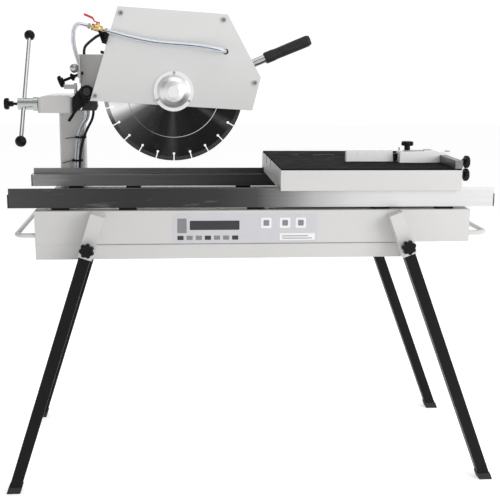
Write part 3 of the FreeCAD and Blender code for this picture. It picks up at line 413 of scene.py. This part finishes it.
def rail_metal(name, stops, low_x, high_x, roughness):
    """A drawn rail: long die lines, rub marks from the rollers, and a painted reflection that changes along
    it.
    """
    s = Shader(name).fix(Metallic=0.75)
    along = s.spread(s.part(s.where, "X"), low_x, high_x)
    # The ramp along X is a painted reflection: dark and light stretches fixed on the rail
    tone = s.ramp(along, *stops)
    lines = s.noise(300.0, 3.0, (0.01, 1.0, 1.0))
    drawn = s.blend(s.spread(lines, 0.3, 0.7, 0.0, 0.35), tone, (0.75, 0.75, 0.76), "SOFT_LIGHT")
    scuffs = s.spread(s.noise(40.0, 6.0, (0.12, 1.0, 1.0)), 0.60, 0.75, 0.0, 0.3)
    rubbed = s.blend(scuffs, drawn, (0.62, 0.62, 0.63))
    rough = s.spread(lines, 0.3, 0.7, roughness - 0.06, roughness + 0.08)
    return s.done(rubbed, rough, s.relief(lines, 0.00004, s.rounded(0.0008)))


def blade_metal():
    """The disc: ground in rings, with an etched ring and a gritty rim; a painted highlight makes a bright
    sector, and the ring and rim are lighter and darker by angle as painted reflection.
    """
    s = Shader("blade_steel").fix(Metallic=0.85)
    local = s.at(place(*BLADE_CENTRE))
    x, z = s.part(local, "X"), s.part(local, "Z")
    radius = s.sum("SQRT", s.sum("ADD", s.sum("MULTIPLY", x, x), s.sum("MULTIPLY", z, z)))
    grind = s.add("ShaderNodeTexNoise", noise_dimensions="1D")
    s.join(s.sum("MULTIPLY", radius, 900.0), grind.inputs["W"])
    grind.inputs["Scale"].default_value = 1.0
    angle = s.sum("ARCTAN2", z, x)
    turn = s.spread(angle, -math.pi, math.pi)
    # Painted highlight: a bright sector fixed by angle round the centre, where the ground face mirrors the
    # light
    painted_sheen = s.ramp(turn,
                   (0.0, 0.90), (0.030, 1.0), (0.052, 0.95), (0.070, 0.38), (0.088, 0.11), (0.13, 0.04),
                   (0.19, 0.014), (0.222, 0.018), (0.245, 0.055), (0.265, 0.018), (0.34, 0.010),
                   (0.395, 0.012), (0.412, 0.060), (0.43, 0.012), (0.50, 0.02), (0.62, 0.12), (0.80, 0.05),
                   (1.0, 0.70))
    toned = s.blend(s.spread(grind.outputs["Fac"], 0.3, 0.7, 0.0, 0.3), painted_sheen, 0.3, "OVERLAY")
    etched = s.sum("COMPARE", radius, ETCHED_RADIUS, 0.0009)
    # Painted reflection on the etched ring: lighter and darker by angle round the centre
    ring_reflection = s.ramp(turn, (0.0, 0.22), (0.07, 0.22), (0.15, 0.10), (0.24, 0.50), (0.5, 0.9))
    ringed = s.blend(s.sum("MULTIPLY", etched, 0.85), toned, ring_reflection)
    rim = s.spread(radius, SEGMENT_RADIUS, SEGMENT_RADIUS + 0.0005)
    grains = s.noise(1500.0, 2.0)
    grit = s.blend(s.spread(grains, 0.45, 0.6), (0.055, 0.054, 0.052), (0.16, 0.155, 0.15))
    # Painted highlight on the rim, bright in the same sector as the disc's
    rim_highlight = s.ramp(turn, (0.0, 0.9), (0.045, 0.75), (0.075, 0.0), (0.95, 0.0), (1.0, 0.9))
    lit_rim = s.blend(rim_highlight, grit, 0.75)
    coloured = s.blend(rim, ringed, lit_rim)
    wet = s.blend(s.spread(s.noise(30.0, 6.0), 0.58, 0.8, 0.0, 0.10), coloured, (0.30, 0.28, 0.25))
    rough = s.spread(rim, 0.0, 1.0, 0.30, 0.75)
    uneven = s.spread(s.noise(1.0, 2.0), 0.3, 0.7, -0.03, 0.05)
    height = s.sum("ADD", s.sum("MULTIPLY", grind.outputs["Fac"], 0.4), s.sum("MULTIPLY", grains, rim))
    return s.done(wet, s.sum("ADD", rough, uneven), s.relief(height, 0.00008))


def hose_plastic():
    """Soft clear tube: cloudy white, faintly blue, with water film marks."""
    s = Shader("clear_hose").fix(Transmission_Weight=0.42, IOR=1.25, Coat_Weight=0.35, Coat_Roughness=0.08)
    tint = s.blend(s.noise(40.0, 4.0), (0.86, 0.90, 0.95), (0.97, 0.98, 1.0))
    film = s.blend(s.spread(s.noise(160.0, 5.0), 0.55, 0.75, 0.0, 0.3), tint, (0.80, 0.86, 0.95))
    return s.done(film, s.spread(s.noise(90.0, 3.0), 0.3, 0.7, 0.10, 0.24), s.relief(s.noise(120.0), 0.00005))


def hose_ink():
    """The hose's dark line, painted shade of the bore seen through the clear wall: dark blue, paler in
    patches.
    """
    s = Shader("hose_ink")
    deep = s.blend(s.noise(60.0, 4.0), (0.035, 0.06, 0.15), (0.08, 0.12, 0.26))
    wear_and_pale_patches = s.blend(s.spread(s.noise(220.0, 2.0), 0.64, 0.72, 0.0, 0.6), deep, (0.60, 0.68, 0.80))
    return s.done(wear_and_pale_patches, s.spread(s.noise(80.0), 0.3, 0.7, 0.25, 0.45), s.relief(s.noise(300.0), 0.00004))


def cable_rubber():
    """Matt black sheath with scuffs and a fine pebbled skin."""
    s = Shader("cable_rubber").fix(Specular_IOR_Level=0.14)
    tone = s.blend(s.noise(60.0, 5.0), (0.012, 0.012, 0.013), (0.035, 0.035, 0.037))
    scuffed = s.blend(s.spread(s.noise(220.0, 5.0), 0.60, 0.72, 0.0, 0.3), tone, 0.10)
    return s.done(scuffed, s.spread(s.noise(80.0), 0.3, 0.7, 0.42, 0.60), s.relief(s.cells(900.0), 0.00006))


def ribbed_mat():
    """Rubber sheet with fine ribs along the table, a little stone dust between them and rubbed crowns."""
    s = Shader("ribbed_rubber").fix(Specular_IOR_Level=0.04)
    ribs = s.bands(52.0, "Y")
    tone = s.blend(s.noise(9.0, 3.0), (0.006, 0.006, 0.0065), (0.010, 0.010, 0.011))
    dust = s.sum("MULTIPLY", s.spread(ribs, 0.30, 0.05), s.spread(s.noise(18.0, 5.0), 0.50, 0.80, 0.0, 0.05))
    dusty = s.blend(dust, tone, (0.16, 0.155, 0.15))
    rubbed = s.blend(s.spread(s.noise(70.0, 6.0, (0.2, 1, 1)), 0.66, 0.76, 0.0, 0.08), dusty, 0.05)
    height = s.sum("ADD", ribs, s.sum("MULTIPLY", s.noise(700.0), 0.2))
    return s.done(rubbed, s.spread(s.noise(30.0), 0.3, 0.7, 0.72, 0.86), s.relief(height, 0.0004))


def grip_rubber():
    """The handle: soft moulding with rings along its length."""
    s = Shader("grip_rubber").fix(Specular_IOR_Level=0.14)
    along = s.part(s.at(place(*GRIP_START), turn=(0, GRIP_LEAN, 0)), "X")
    rings = s.sum("SINE", s.sum("MULTIPLY", along, 2 * math.pi / GRIP_RING_PITCH))
    inside = s.sum("MULTIPLY", s.sum("GREATER_THAN", along, 0.030), s.sum("LESS_THAN", along, 0.112))
    tone = s.blend(s.noise(50.0, 5.0), (0.010, 0.010, 0.011), (0.034, 0.034, 0.036))
    polished = s.blend(s.spread(rings, 0.6, 1.0, 0.0, 0.2), tone, 0.09)
    height = s.sum("ADD", s.sum("MULTIPLY", s.sum("MULTIPLY", rings, inside), 0.5),
                   s.sum("MULTIPLY", s.cells(1200.0), 0.12))
    return s.done(polished, s.spread(s.noise(60.0), 0.3, 0.7, 0.35, 0.55), s.relief(height, 0.0006))


def make_materials():
    """One finish for each slot of the record, and those of the details. The rails' tones are a painted
    reflection that runs from left to right."""
    # Painted reflections along the front and back rails, from left to right
    dark_rail_reflection = ((0.0, 0.060), (0.10, 0.045), (0.25, 0.030), (0.42, 0.035), (0.50, 0.060), (0.56, 0.20),
                 (0.62, 0.42), (0.70, 0.58), (0.80, 0.64), (1.0, 0.60))
    pale_rail_reflection = ((0.0, 0.24), (0.12, 0.26), (0.26, 0.19), (0.38, 0.14), (0.50, 0.09), (0.60, 0.08),
                 (0.80, 0.25), (1.0, 0.30))
    rail_low, rail_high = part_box("rail_front")
    return {
        "powder_coat": painted("powder_coat", (0.555, 0.55, 0.54), 0.42, grime=0.07),
        "guard_paint": painted("guard_paint", (0.64, 0.64, 0.635), 0.38, grime=0.04, wear_amount=0.2),
        "black_paint": painted("black_paint", (0.005, 0.005, 0.0055), 0.42, wear=(0.30, 0.30, 0.30),
                               grime=0.2, wear_amount=0.25, gloss=0.14),
        "cast_black": painted("cast_black", (0.006, 0.006, 0.0065), 0.46, wear=(0.30, 0.30, 0.31),
                              grain=0.00025, grime=0.2, edge=0.0016, gloss=0.15),
        "motor_paint": painted("motor_paint", (0.40, 0.41, 0.42), 0.5, grain=0.0002, grime=0.2),
        "black_plastic": moulded("black_plastic", (0.004, 0.004, 0.0045), 0.34, gloss=0.16),
        "grey_plastic": moulded("grey_plastic", (0.055, 0.056, 0.060), 0.45),
        "white_plastic": moulded("white_plastic", (0.78, 0.78, 0.77), 0.30, grain=0.00004, gloss=0.5),
        "red_plastic": moulded("red_plastic", (0.50, 0.012, 0.012), 0.28, grain=0.00003, gloss=0.5),
        "black_oxide": metal("black_oxide", (0.045, 0.045, 0.048), 0.34, scale=150.0),
        "dome_steel": metal("dome_steel", (0.86, 0.86, 0.86), 0.40, scale=500.0, scratch=0.00002, spots=0.05),
        "hose_ink": hose_ink(),
        "fence_steel": metal("fence_steel", (0.20, 0.20, 0.205), 0.34, scale=160.0),
        "fence_white": painted("fence_white", (0.86, 0.86, 0.86), 0.30, grime=0.03, wear_amount=0.2),
        "rail_dark": rail_metal("rail_dark", dark_rail_reflection, rail_low.x, rail_high.x, 0.38),
        "rail_mid": rail_metal("rail_mid", pale_rail_reflection, rail_low.x, rail_high.x, 0.36),
        "chrome": metal("chrome", (0.50, 0.505, 0.51), 0.16, scale=120.0, scratch=0.00001, spots=0.15),
        "steel": metal("steel", (0.52, 0.52, 0.53), 0.28, stretch=(1, 0.05, 1)),
        "zinc": metal("zinc", (0.36, 0.36, 0.355), 0.32, scale=90.0, scratch=0.00003),
        "brass": metal("brass", (0.66, 0.47, 0.20), 0.24, scale=180.0, spots=0.25),
        "stator_iron": metal("stator_iron", (0.25, 0.20, 0.15), 0.5, stretch=(0.1, 1, 0.1), scale=900.0),
        "blade_steel": blade_metal(),
        "clear_hose": hose_plastic(),
        "black_rubber": cable_rubber(),
        "ribbed_rubber": ribbed_mat(),
        "grip_rubber": grip_rubber(),
        "foot_rubber": moulded("foot_rubber", (0.016, 0.016, 0.017), 0.62, grain=0.00012),
    }


materials = make_materials()


# ---------------------------------------------------------------- finishes of the CAD nodes

def smooth(mesh):
    mesh.shade_smooth()
    mesh.set_sharp_from_angle(angle=math.radians(28))


def dress_nodes():
    """Each node takes the finish of its slot in the record."""
    for entry in frame["record"]["subparts"]:
        node = nodes[entry["node"]]
        node.data.materials.clear()
        node.data.materials.append(materials[entry["material_slot"]])
        smooth(node.data)


def repaint(node, finish, belongs, end_faces=True):
    """Gives the node's faces whose middle passes the test another finish. Without end_faces, the faces
    that look along X keep their own."""
    mesh = nodes[node].data
    mesh.materials.append(materials[finish])
    index = len(mesh.materials) - 1
    for face in mesh.polygons:
        if belongs(face.center) and (end_faces or abs(face.normal.x) < 0.7):
            face.material_index = index


def repaint_details():
    """Solids of another stuff inside one node: rubber feet, ball ends, the bright stop and so on; and the
    walls of the table's slots, painted black as painted shade.
    """
    legs = [name for name in nodes
            if name.startswith("leg_") and "knob" not in name and "sockets" not in name]
    for leg in legs:
        repaint(leg, "foot_rubber", lambda centre: centre.z < FOOT_HEIGHT)
    low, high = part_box("tee_rod")
    repaint("tee_rod", "black_plastic", lambda c: c.z > high.z - BALL_REACH or c.z < low.z + BALL_REACH)
    right, top, front, back = place(-0.4869, 0, 0).x, 1.0211, place(0, 0.1299, 0).y, place(0, 0.1701, 0).y
    repaint("tilt_yoke", "zinc", lambda c: c.x < right and c.z > top and front < c.y < back)
    fence_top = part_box("fence_stop")[1].z
    repaint("fence_carriage", "zinc", lambda c: c.z > fence_top + 0.0003)
    nodes["handle_grip"].data.materials[0] = materials["grip_rubber"]
    nodes["hub_cover"].data.materials[0] = materials["dome_steel"]
    nodes["valve_bracket"].data.materials[0] = materials["black_paint"]
    nodes["fence_rail"].data.materials[0] = materials["fence_steel"]
    for bar in ("fence_stop", "fence_carriage"):
        nodes[bar].data.materials[0] = materials["fence_white"]
    tongue = place(0.3932, 0, 0).x
    repaint("fence_stop", "black_plastic", lambda c: c.x > tongue)
    # The walls inside the kerf and the mitre slot are painted black: painted shade inside the slots
    for kerf_y in (KERF_Y, MITRE_Y):
        near, far = place(0, kerf_y - KERF_HALF, 0).y, place(0, kerf_y + KERF_HALF, 0).y
        repaint("table_tray", "black_plastic",
                lambda c, near=near, far=far: near < c.y < far and c.z > KERF_FLOOR, False)


def dress_hoses():
    for piece in hoses:
        # The line along each clear hose takes the painted shade of the bore
        finish = "hose_ink" if piece.name.endswith(LINE_SUFFIX) else piece["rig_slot"]
        piece.data.materials.append(materials[finish])


dress_nodes()
repaint_details()
dress_hoses()

# ---------------------------------------------------------------- small pieces on the frame

def new_piece(name, body, mesh_code, finish, slot=None):
    """A mesh piece from bmesh code, riding on a body."""
    form = bmesh.new()
    mesh_code(form)
    bmesh.ops.recalc_face_normals(form, faces=form.faces)
    mesh = bpy.data.meshes.new(name)
    form.to_mesh(mesh)
    form.free()
    piece = bpy.data.objects.new(name, mesh)
    bpy.context.scene.collection.objects.link(piece)
    mesh.materials.append(materials[finish] if isinstance(finish, str) else finish)
    smooth(mesh)
    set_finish(piece, slot or finish)
    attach(piece, body)
    return piece


def turn_to(direction):
    """The turn that takes +Z to a direction."""
    return Vector(direction).to_track_quat("Z", "Y").to_matrix().to_4x4()


def lathe(form, profile, centre, direction, steps=48):
    """Turns (radius, height) points round a line through centre."""
    frame_of = Matrix.Translation(centre) @ turn_to(direction)
    rings = []
    for radius, height in profile:
        ring = []
        for i in range(steps):
            angle = 2 * math.pi * i / steps
            spot = Vector((radius * math.cos(angle), radius * math.sin(angle), height))
            ring.append(form.verts.new(frame_of @ spot))
        rings.append(ring)
    for lower, upper in zip(rings, rings[1:]):
        for i in range(steps):
            j = (i + 1) % steps
            form.faces.new((lower[i], lower[j], upper[j], upper[i]))
    form.faces.new(rings[0])
    form.faces.new(rings[-1])


def prism(form, corners, depth, frame_of, bevel=0.0):
    """An extruded outline with its top edge bevelled."""
    bottom = [form.verts.new(frame_of @ Vector((x, y, 0))) for x, y in corners]
    middle = [form.verts.new(frame_of @ Vector((x, y, depth - bevel))) for x, y in corners]
    centre = Vector((sum(x for x, _ in corners), sum(y for _, y in corners))) / len(corners)
    top = []
    for x, y in corners:
        inward = (centre - Vector((x, y))).normalized() * bevel
        top.append(form.verts.new(frame_of @ Vector((x + inward.x, y + inward.y, depth))))
    count = len(corners)
    for first, second in ((bottom, middle), (middle, top)):
        for i in range(count):
            j = (i + 1) % count
            form.faces.new((first[i], first[j], second[j], second[i]))
    form.faces.new(bottom)
    form.faces.new(top)


def rounded_rectangle(width, height, radius, steps=4):
    corners = []
    for cx, cy, start in ((1, 1, 0), (-1, 1, 90), (-1, -1, 180), (1, -1, 270)):
        for i in range(steps + 1):
            angle = math.radians(start + 90 * i / steps)
            corners.append((cx * (width / 2 - radius) + radius * math.cos(angle),
                            cy * (height / 2 - radius) + radius * math.sin(angle)))
    return corners


def screw_cross(form, centre, direction, size):
    """The cross on a pan-head screw, as two thin crossed bars."""
    frame_of = Matrix.Translation(centre) @ turn_to(direction)
    for turn in (0, 90):
        bar = Matrix.Rotation(math.radians(turn + 35), 4, "Z")
        prism(form, rounded_rectangle(size * 1.7, size * 0.34, size * 0.1, 2), 0.0003, frame_of @ bar, 0.0001)


def band(form, centre, direction, inner, outer, width):
    """A clamp band with rolled edges."""
    lip = width * 0.18
    profile = [(inner, 0), (outer, 0), (outer + 0.0003, lip), (outer - 0.0002, width / 2),
               (outer + 0.0003, width - lip), (outer, width), (inner, width)]
    lathe(form, profile, Vector(centre) - Vector(direction).normalized() * width / 2, direction, 40)


# Label on the tank's front

def flat_finish(name, colour, roughness):
    """Printed film: faint print grain, handling smears and a little orange peel."""
    s = Shader(name)
    tone = s.blend(s.noise(30.0, 4.0), scaled(colour, 0.95), scaled(colour, 1.04))
    handled = s.spread(s.noise(9.0, 6.0, (0.4, 1, 1)), 0.55, 0.8, 0.0, 0.12)
    smears = s.blend(handled, tone, scaled(colour, 0.8))
    rough = s.spread(s.noise(50.0, 4.0), 0.3, 0.7, roughness - 0.08, roughness + 0.08)
    return s.done(smears, rough, s.relief(s.noise(600.0), 0.00002))


LABEL_LEFT, LABEL_RIGHT, LABEL_BOTTOM, LABEL_TOP = -0.2158, 0.1593, 0.6658, 0.7418
FILM = 0.0003


def print_block(name, left, right, bottom, top, finish, layer=1, radius=0.002):
    """A printed rectangle on the tank's front, a film's thickness above the layer under it."""
    spot = place((left + right) / 2, TANK_FRONT - FILM * (layer - 1), (bottom + top) / 2)
    frame_of = Matrix.Translation(spot) @ Matrix.Rotation(math.radians(90), 4, "X")
    outline = rounded_rectangle(right - left, top - bottom, radius)
    new_piece(name, "base", lambda form: prism(form, outline, FILM, frame_of, FILM / 3), finish,
              "white_plastic")


def make_label():
    """A generic machine plate: a plain band, blank symbol fields and a ruled data field, unlettered."""
    paper = flat_finish("label_paper", (0.52, 0.52, 0.545), 0.35)
    ink = flat_finish("label_ink", (0.022, 0.022, 0.024), 0.38)
    grey = flat_finish("label_grey", (0.20, 0.20, 0.21), 0.40)
    white = flat_finish("label_white", (0.74, 0.74, 0.74), 0.38)
    print_block("label_sheet", LABEL_LEFT, LABEL_RIGHT, LABEL_BOTTOM, LABEL_TOP, paper)
    # A thin black strip along the tank's fold: painted shade in the crease
    print_block("tank_seam", -0.440, 0.405, LABEL_BOTTOM - 0.0032, LABEL_BOTTOM - 0.0024, ink,
                radius=0.0003)
    upper = LABEL_TOP - 0.012
    split = LABEL_BOTTOM + 0.026
    print_block("label_block", LABEL_LEFT + 0.012, LABEL_LEFT + 0.036, split, upper, grey, 2)
    print_block("label_band", LABEL_LEFT + 0.044, LABEL_LEFT + 0.172, split + 0.008, upper - 0.006,
                ink, 2)
    for i in range(7):
        left = LABEL_LEFT + 0.012 + i * 0.0235
        print_block(f"label_field_{i}", left, left + 0.016, LABEL_BOTTOM + 0.008, LABEL_BOTTOM + 0.019,
                    grey if i % 3 else ink, 2, 0.001)
    for i, left in enumerate((LABEL_LEFT + 0.228, LABEL_LEFT + 0.277, LABEL_LEFT + 0.318)):
        print_block(f"label_window_{i}", left, left + 0.027, split + 0.012, upper + 0.001, white, 2)
        print_block(f"label_mark_{i}", left + 0.006, left + 0.021, split + 0.018, upper - 0.005, grey, 3)
    print_block("label_data", LABEL_LEFT + 0.277, LABEL_RIGHT - 0.006, LABEL_BOTTOM + 0.006,
                LABEL_BOTTOM + 0.024, white, 2)
    for i in range(2):
        bottom = LABEL_BOTTOM + 0.010 + i * 0.006
        print_block(f"label_rule_{i}", LABEL_LEFT + 0.283, LABEL_RIGHT - 0.014 - 0.010 * i, bottom,
                    bottom + 0.002, grey, 3, 0.0008)


make_label()


# Fittings

def make_hose_bands():
    valve = place(*VALVE_CENTRE)
    along = Vector((math.cos(VALVE_LEAN), 0, math.sin(VALVE_LEAN)))

    def hose_bands(form):
        band(form, valve - along * 0.0215, along, HOSE / 2 + 0.0001, HOSE / 2 + 0.0011, 0.006)
        band(form, valve + along * 0.0255, along, GUARD_HOSE / 2 + 0.0001, GUARD_HOSE / 2 + 0.0010, 0.005)
    new_piece("hose_bands", "saw_head", hose_bands, "zinc")

    def pump_band(form):
        band(form, place(-0.499, 0.184, 0.681), Y_AXIS, HOSE / 2 + 0.0001, HOSE / 2 + 0.0011, 0.006)
    new_piece("pump_band", "base", pump_band, "zinc")


# The black crossed bars are painted shade standing for the cross recess in each screw head
def make_screw_crosses():
    def crosses(form):
        for x, z in ((-0.352, 1.253), (-0.069, 1.238), (-0.4275, 1.0277), (0.020, 1.0664)):
            screw_cross(form, place(x, 0.0440, z), -Y_AXIS, 0.0040)
    new_piece("screw_crosses", "saw_head", crosses, "black_plastic")


def make_arm_ball():
    """The bright ball beside the depth screw, on a short neck."""
    radius, neck = 0.0135, 0.0045

    def ball_on_neck(form):
        turns = [math.radians(degrees) for degrees in range(30, 171, 10)]
        ball = [(radius * math.sin(turn), radius * (1 - math.cos(turn))) for turn in turns]
        profile = [(neck, -0.0025), (neck, ball[0][1])] + ball
        lathe(form, profile, place(-0.4785, 0.146, 1.1017), -X_AXIS, 40)
    new_piece("arm_ball", "saw_head", ball_on_neck, "chrome")


def flat_strip(name, body, middle, size, corner, bevel, finish):
    """A thin rounded strip lying along X, with its underside at middle. Size is length, width, thickness."""
    length, width, thickness = size
    outline = rounded_rectangle(length, width, corner)
    frame_of = Matrix.Translation(middle)
    new_piece(name, body, lambda form: prism(form, outline, thickness, frame_of, bevel), finish)


def make_kerf_highlights():
    """Two bright strips beside the slot: a painted highlight where the slot's far wall catches the light."""
    mat_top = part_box("rubber_mat")[1].z
    for i, (left, right) in enumerate(((0.130, 0.156), (0.200, 0.262))):
        middle = place((left + right) / 2, KERF_Y + KERF_HALF + 0.0008, mat_top)
        # Thin zinc strips as painted highlight along the slot
        flat_strip(f"kerf_edge_{i}", "table", middle, (right - left, 0.0011, 0.0003), 0.0004, 0.0001, "zinc")


def make_fence_details():
    """The bolt in the fence's clamp, and black strips along both halves, painted shade where the grooves are.
    """
    stop_low, stop_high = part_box("fence_stop")
    clamp_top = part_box("fence_carriage")[1].z

    def bolt(form):
        profile = [(0.0, 0.0), (0.0022, 0.0), (0.0022, 0.0105), (0.0016, 0.0115), (0.0, 0.0115)]
        lathe(form, profile, place(0.4095, -0.081, clamp_top - 0.004), Z_AXIS, 16)
    new_piece("fence_bolt", "fence", bolt, "chrome")

    # Flat black strips as painted shade in the grooves along the fence top
    grooves = (("stop", "fence_stop", stop_low.x + 0.001, place(0.391, 0, 0).x, -0.0775, stop_high.z),
               ("clamp", "fence", place(0.408, 0, 0).x, place(0.512, 0, 0).x, -0.098, clamp_top - 0.0029))
    for name, body, left, right, y, height in grooves:
        middle = Vector(((left + right) / 2, place(0, y, 0).y, height))
        flat_strip(f"fence_{name}_line", body, middle, (right - left, 0.0022, 0.0002), 0.0008, 0.00005,
                   "black_plastic")


make_hose_bands()
make_screw_crosses()
make_arm_ball()
make_kerf_highlights()
make_fence_details()

# ---------------------------------------------------------------- floor and light

def make_stage():
    """A pale floor and a room that is white behind the machine and greyer at its sides."""
    reach = 14.0
    corners = [(-reach, -reach, 0), (reach, -reach, 0), (reach, reach, 0), (-reach, reach, 0)]
    mesh = bpy.data.meshes.new("floor")
    mesh.from_pydata(corners, [], [(0, 1, 2, 3)])
    floor = bpy.data.objects.new("floor", mesh)
    bpy.context.scene.collection.objects.link(floor)
    s = Shader("floor")
    s.fix(Emission_Color=(1, 1, 1, 1), Emission_Strength=0.42, Specular_IOR_Level=0.1)
    mesh.materials.append(s.done(s.blend(s.noise(0.7, 2.0), 0.90, 0.93), 0.9))
    world = bpy.data.worlds.new("studio")
    world.use_nodes = True
    tree = world.node_tree
    backdrop = tree.nodes["Background"]
    direction = tree.nodes.new("ShaderNodeTexCoord").outputs["Generated"]
    split = tree.nodes.new("ShaderNodeSeparateXYZ")
    tree.links.new(direction, split.inputs["Vector"])
    side = world_range(tree, split.outputs["X"], (-1.0, 1.0), SIDE_LIGHT)
    behind = world_range(tree, split.outputs["Y"], (0.35, 0.80), (0.0, 1.0))
    low = world_range(tree, split.outputs["Z"], (0.24, 0.10), (0.0, 1.0))
    paler = tree.nodes.new("ShaderNodeMath")
    paler.operation = "MAXIMUM"
    tree.links.new(behind, paler.inputs[0])
    tree.links.new(low, paler.inputs[1])
    whole = tree.nodes.new("ShaderNodeMix")
    whole.data_type = "FLOAT"
    tree.links.new(paler.outputs[0], whole.inputs["Factor"])
    tree.links.new(side, whole.inputs[2])
    whole.inputs[3].default_value = BACKDROP_LIGHT
    tree.links.new(whole.outputs[0], backdrop.inputs["Strength"])
    backdrop.inputs["Color"].default_value = (1, 1, 1, 1)
    bpy.context.scene.world = world
    bpy.context.scene.view_settings.view_transform = "Standard"


def world_range(tree, value, span, out):
    """Maps a value from one range to another in the room's nodes."""
    node = tree.nodes.new("ShaderNodeMapRange")
    tree.links.new(value, node.inputs["Value"])
    node.inputs["From Min"].default_value, node.inputs["From Max"].default_value = span
    node.inputs["To Min"].default_value, node.inputs["To Max"].default_value = out
    return node.outputs["Result"]


# Strength of the soft room light from the left and the right, and straight behind the machine
SIDE_LIGHT = (0.26, 0.74)
BACKDROP_LIGHT = 1.06
# Name, place, side in metres and power in watts
SOFTBOXES = (("key", (1.9, -1.7, 1.55), 1.3, 30.0), ("top", (0.2, -0.4, 3.4), 2.4, 22.0),
             ("rear", (-0.6, 3.0, 2.2), 2.0, 14.0))


def make_lights():
    target = Vector((0, 0, 0.75))
    for name, where, size, power in SOFTBOXES:
        data = bpy.data.lights.new(name, "AREA")
        data.shape, data.size, data.energy = "SQUARE", size, power
        light = bpy.data.objects.new(name, data)
        bpy.context.scene.collection.objects.link(light)
        light.location = where
        light.rotation_euler = (target - light.location).to_track_quat("-Z", "Y").to_euler()


make_stage()
make_lights()
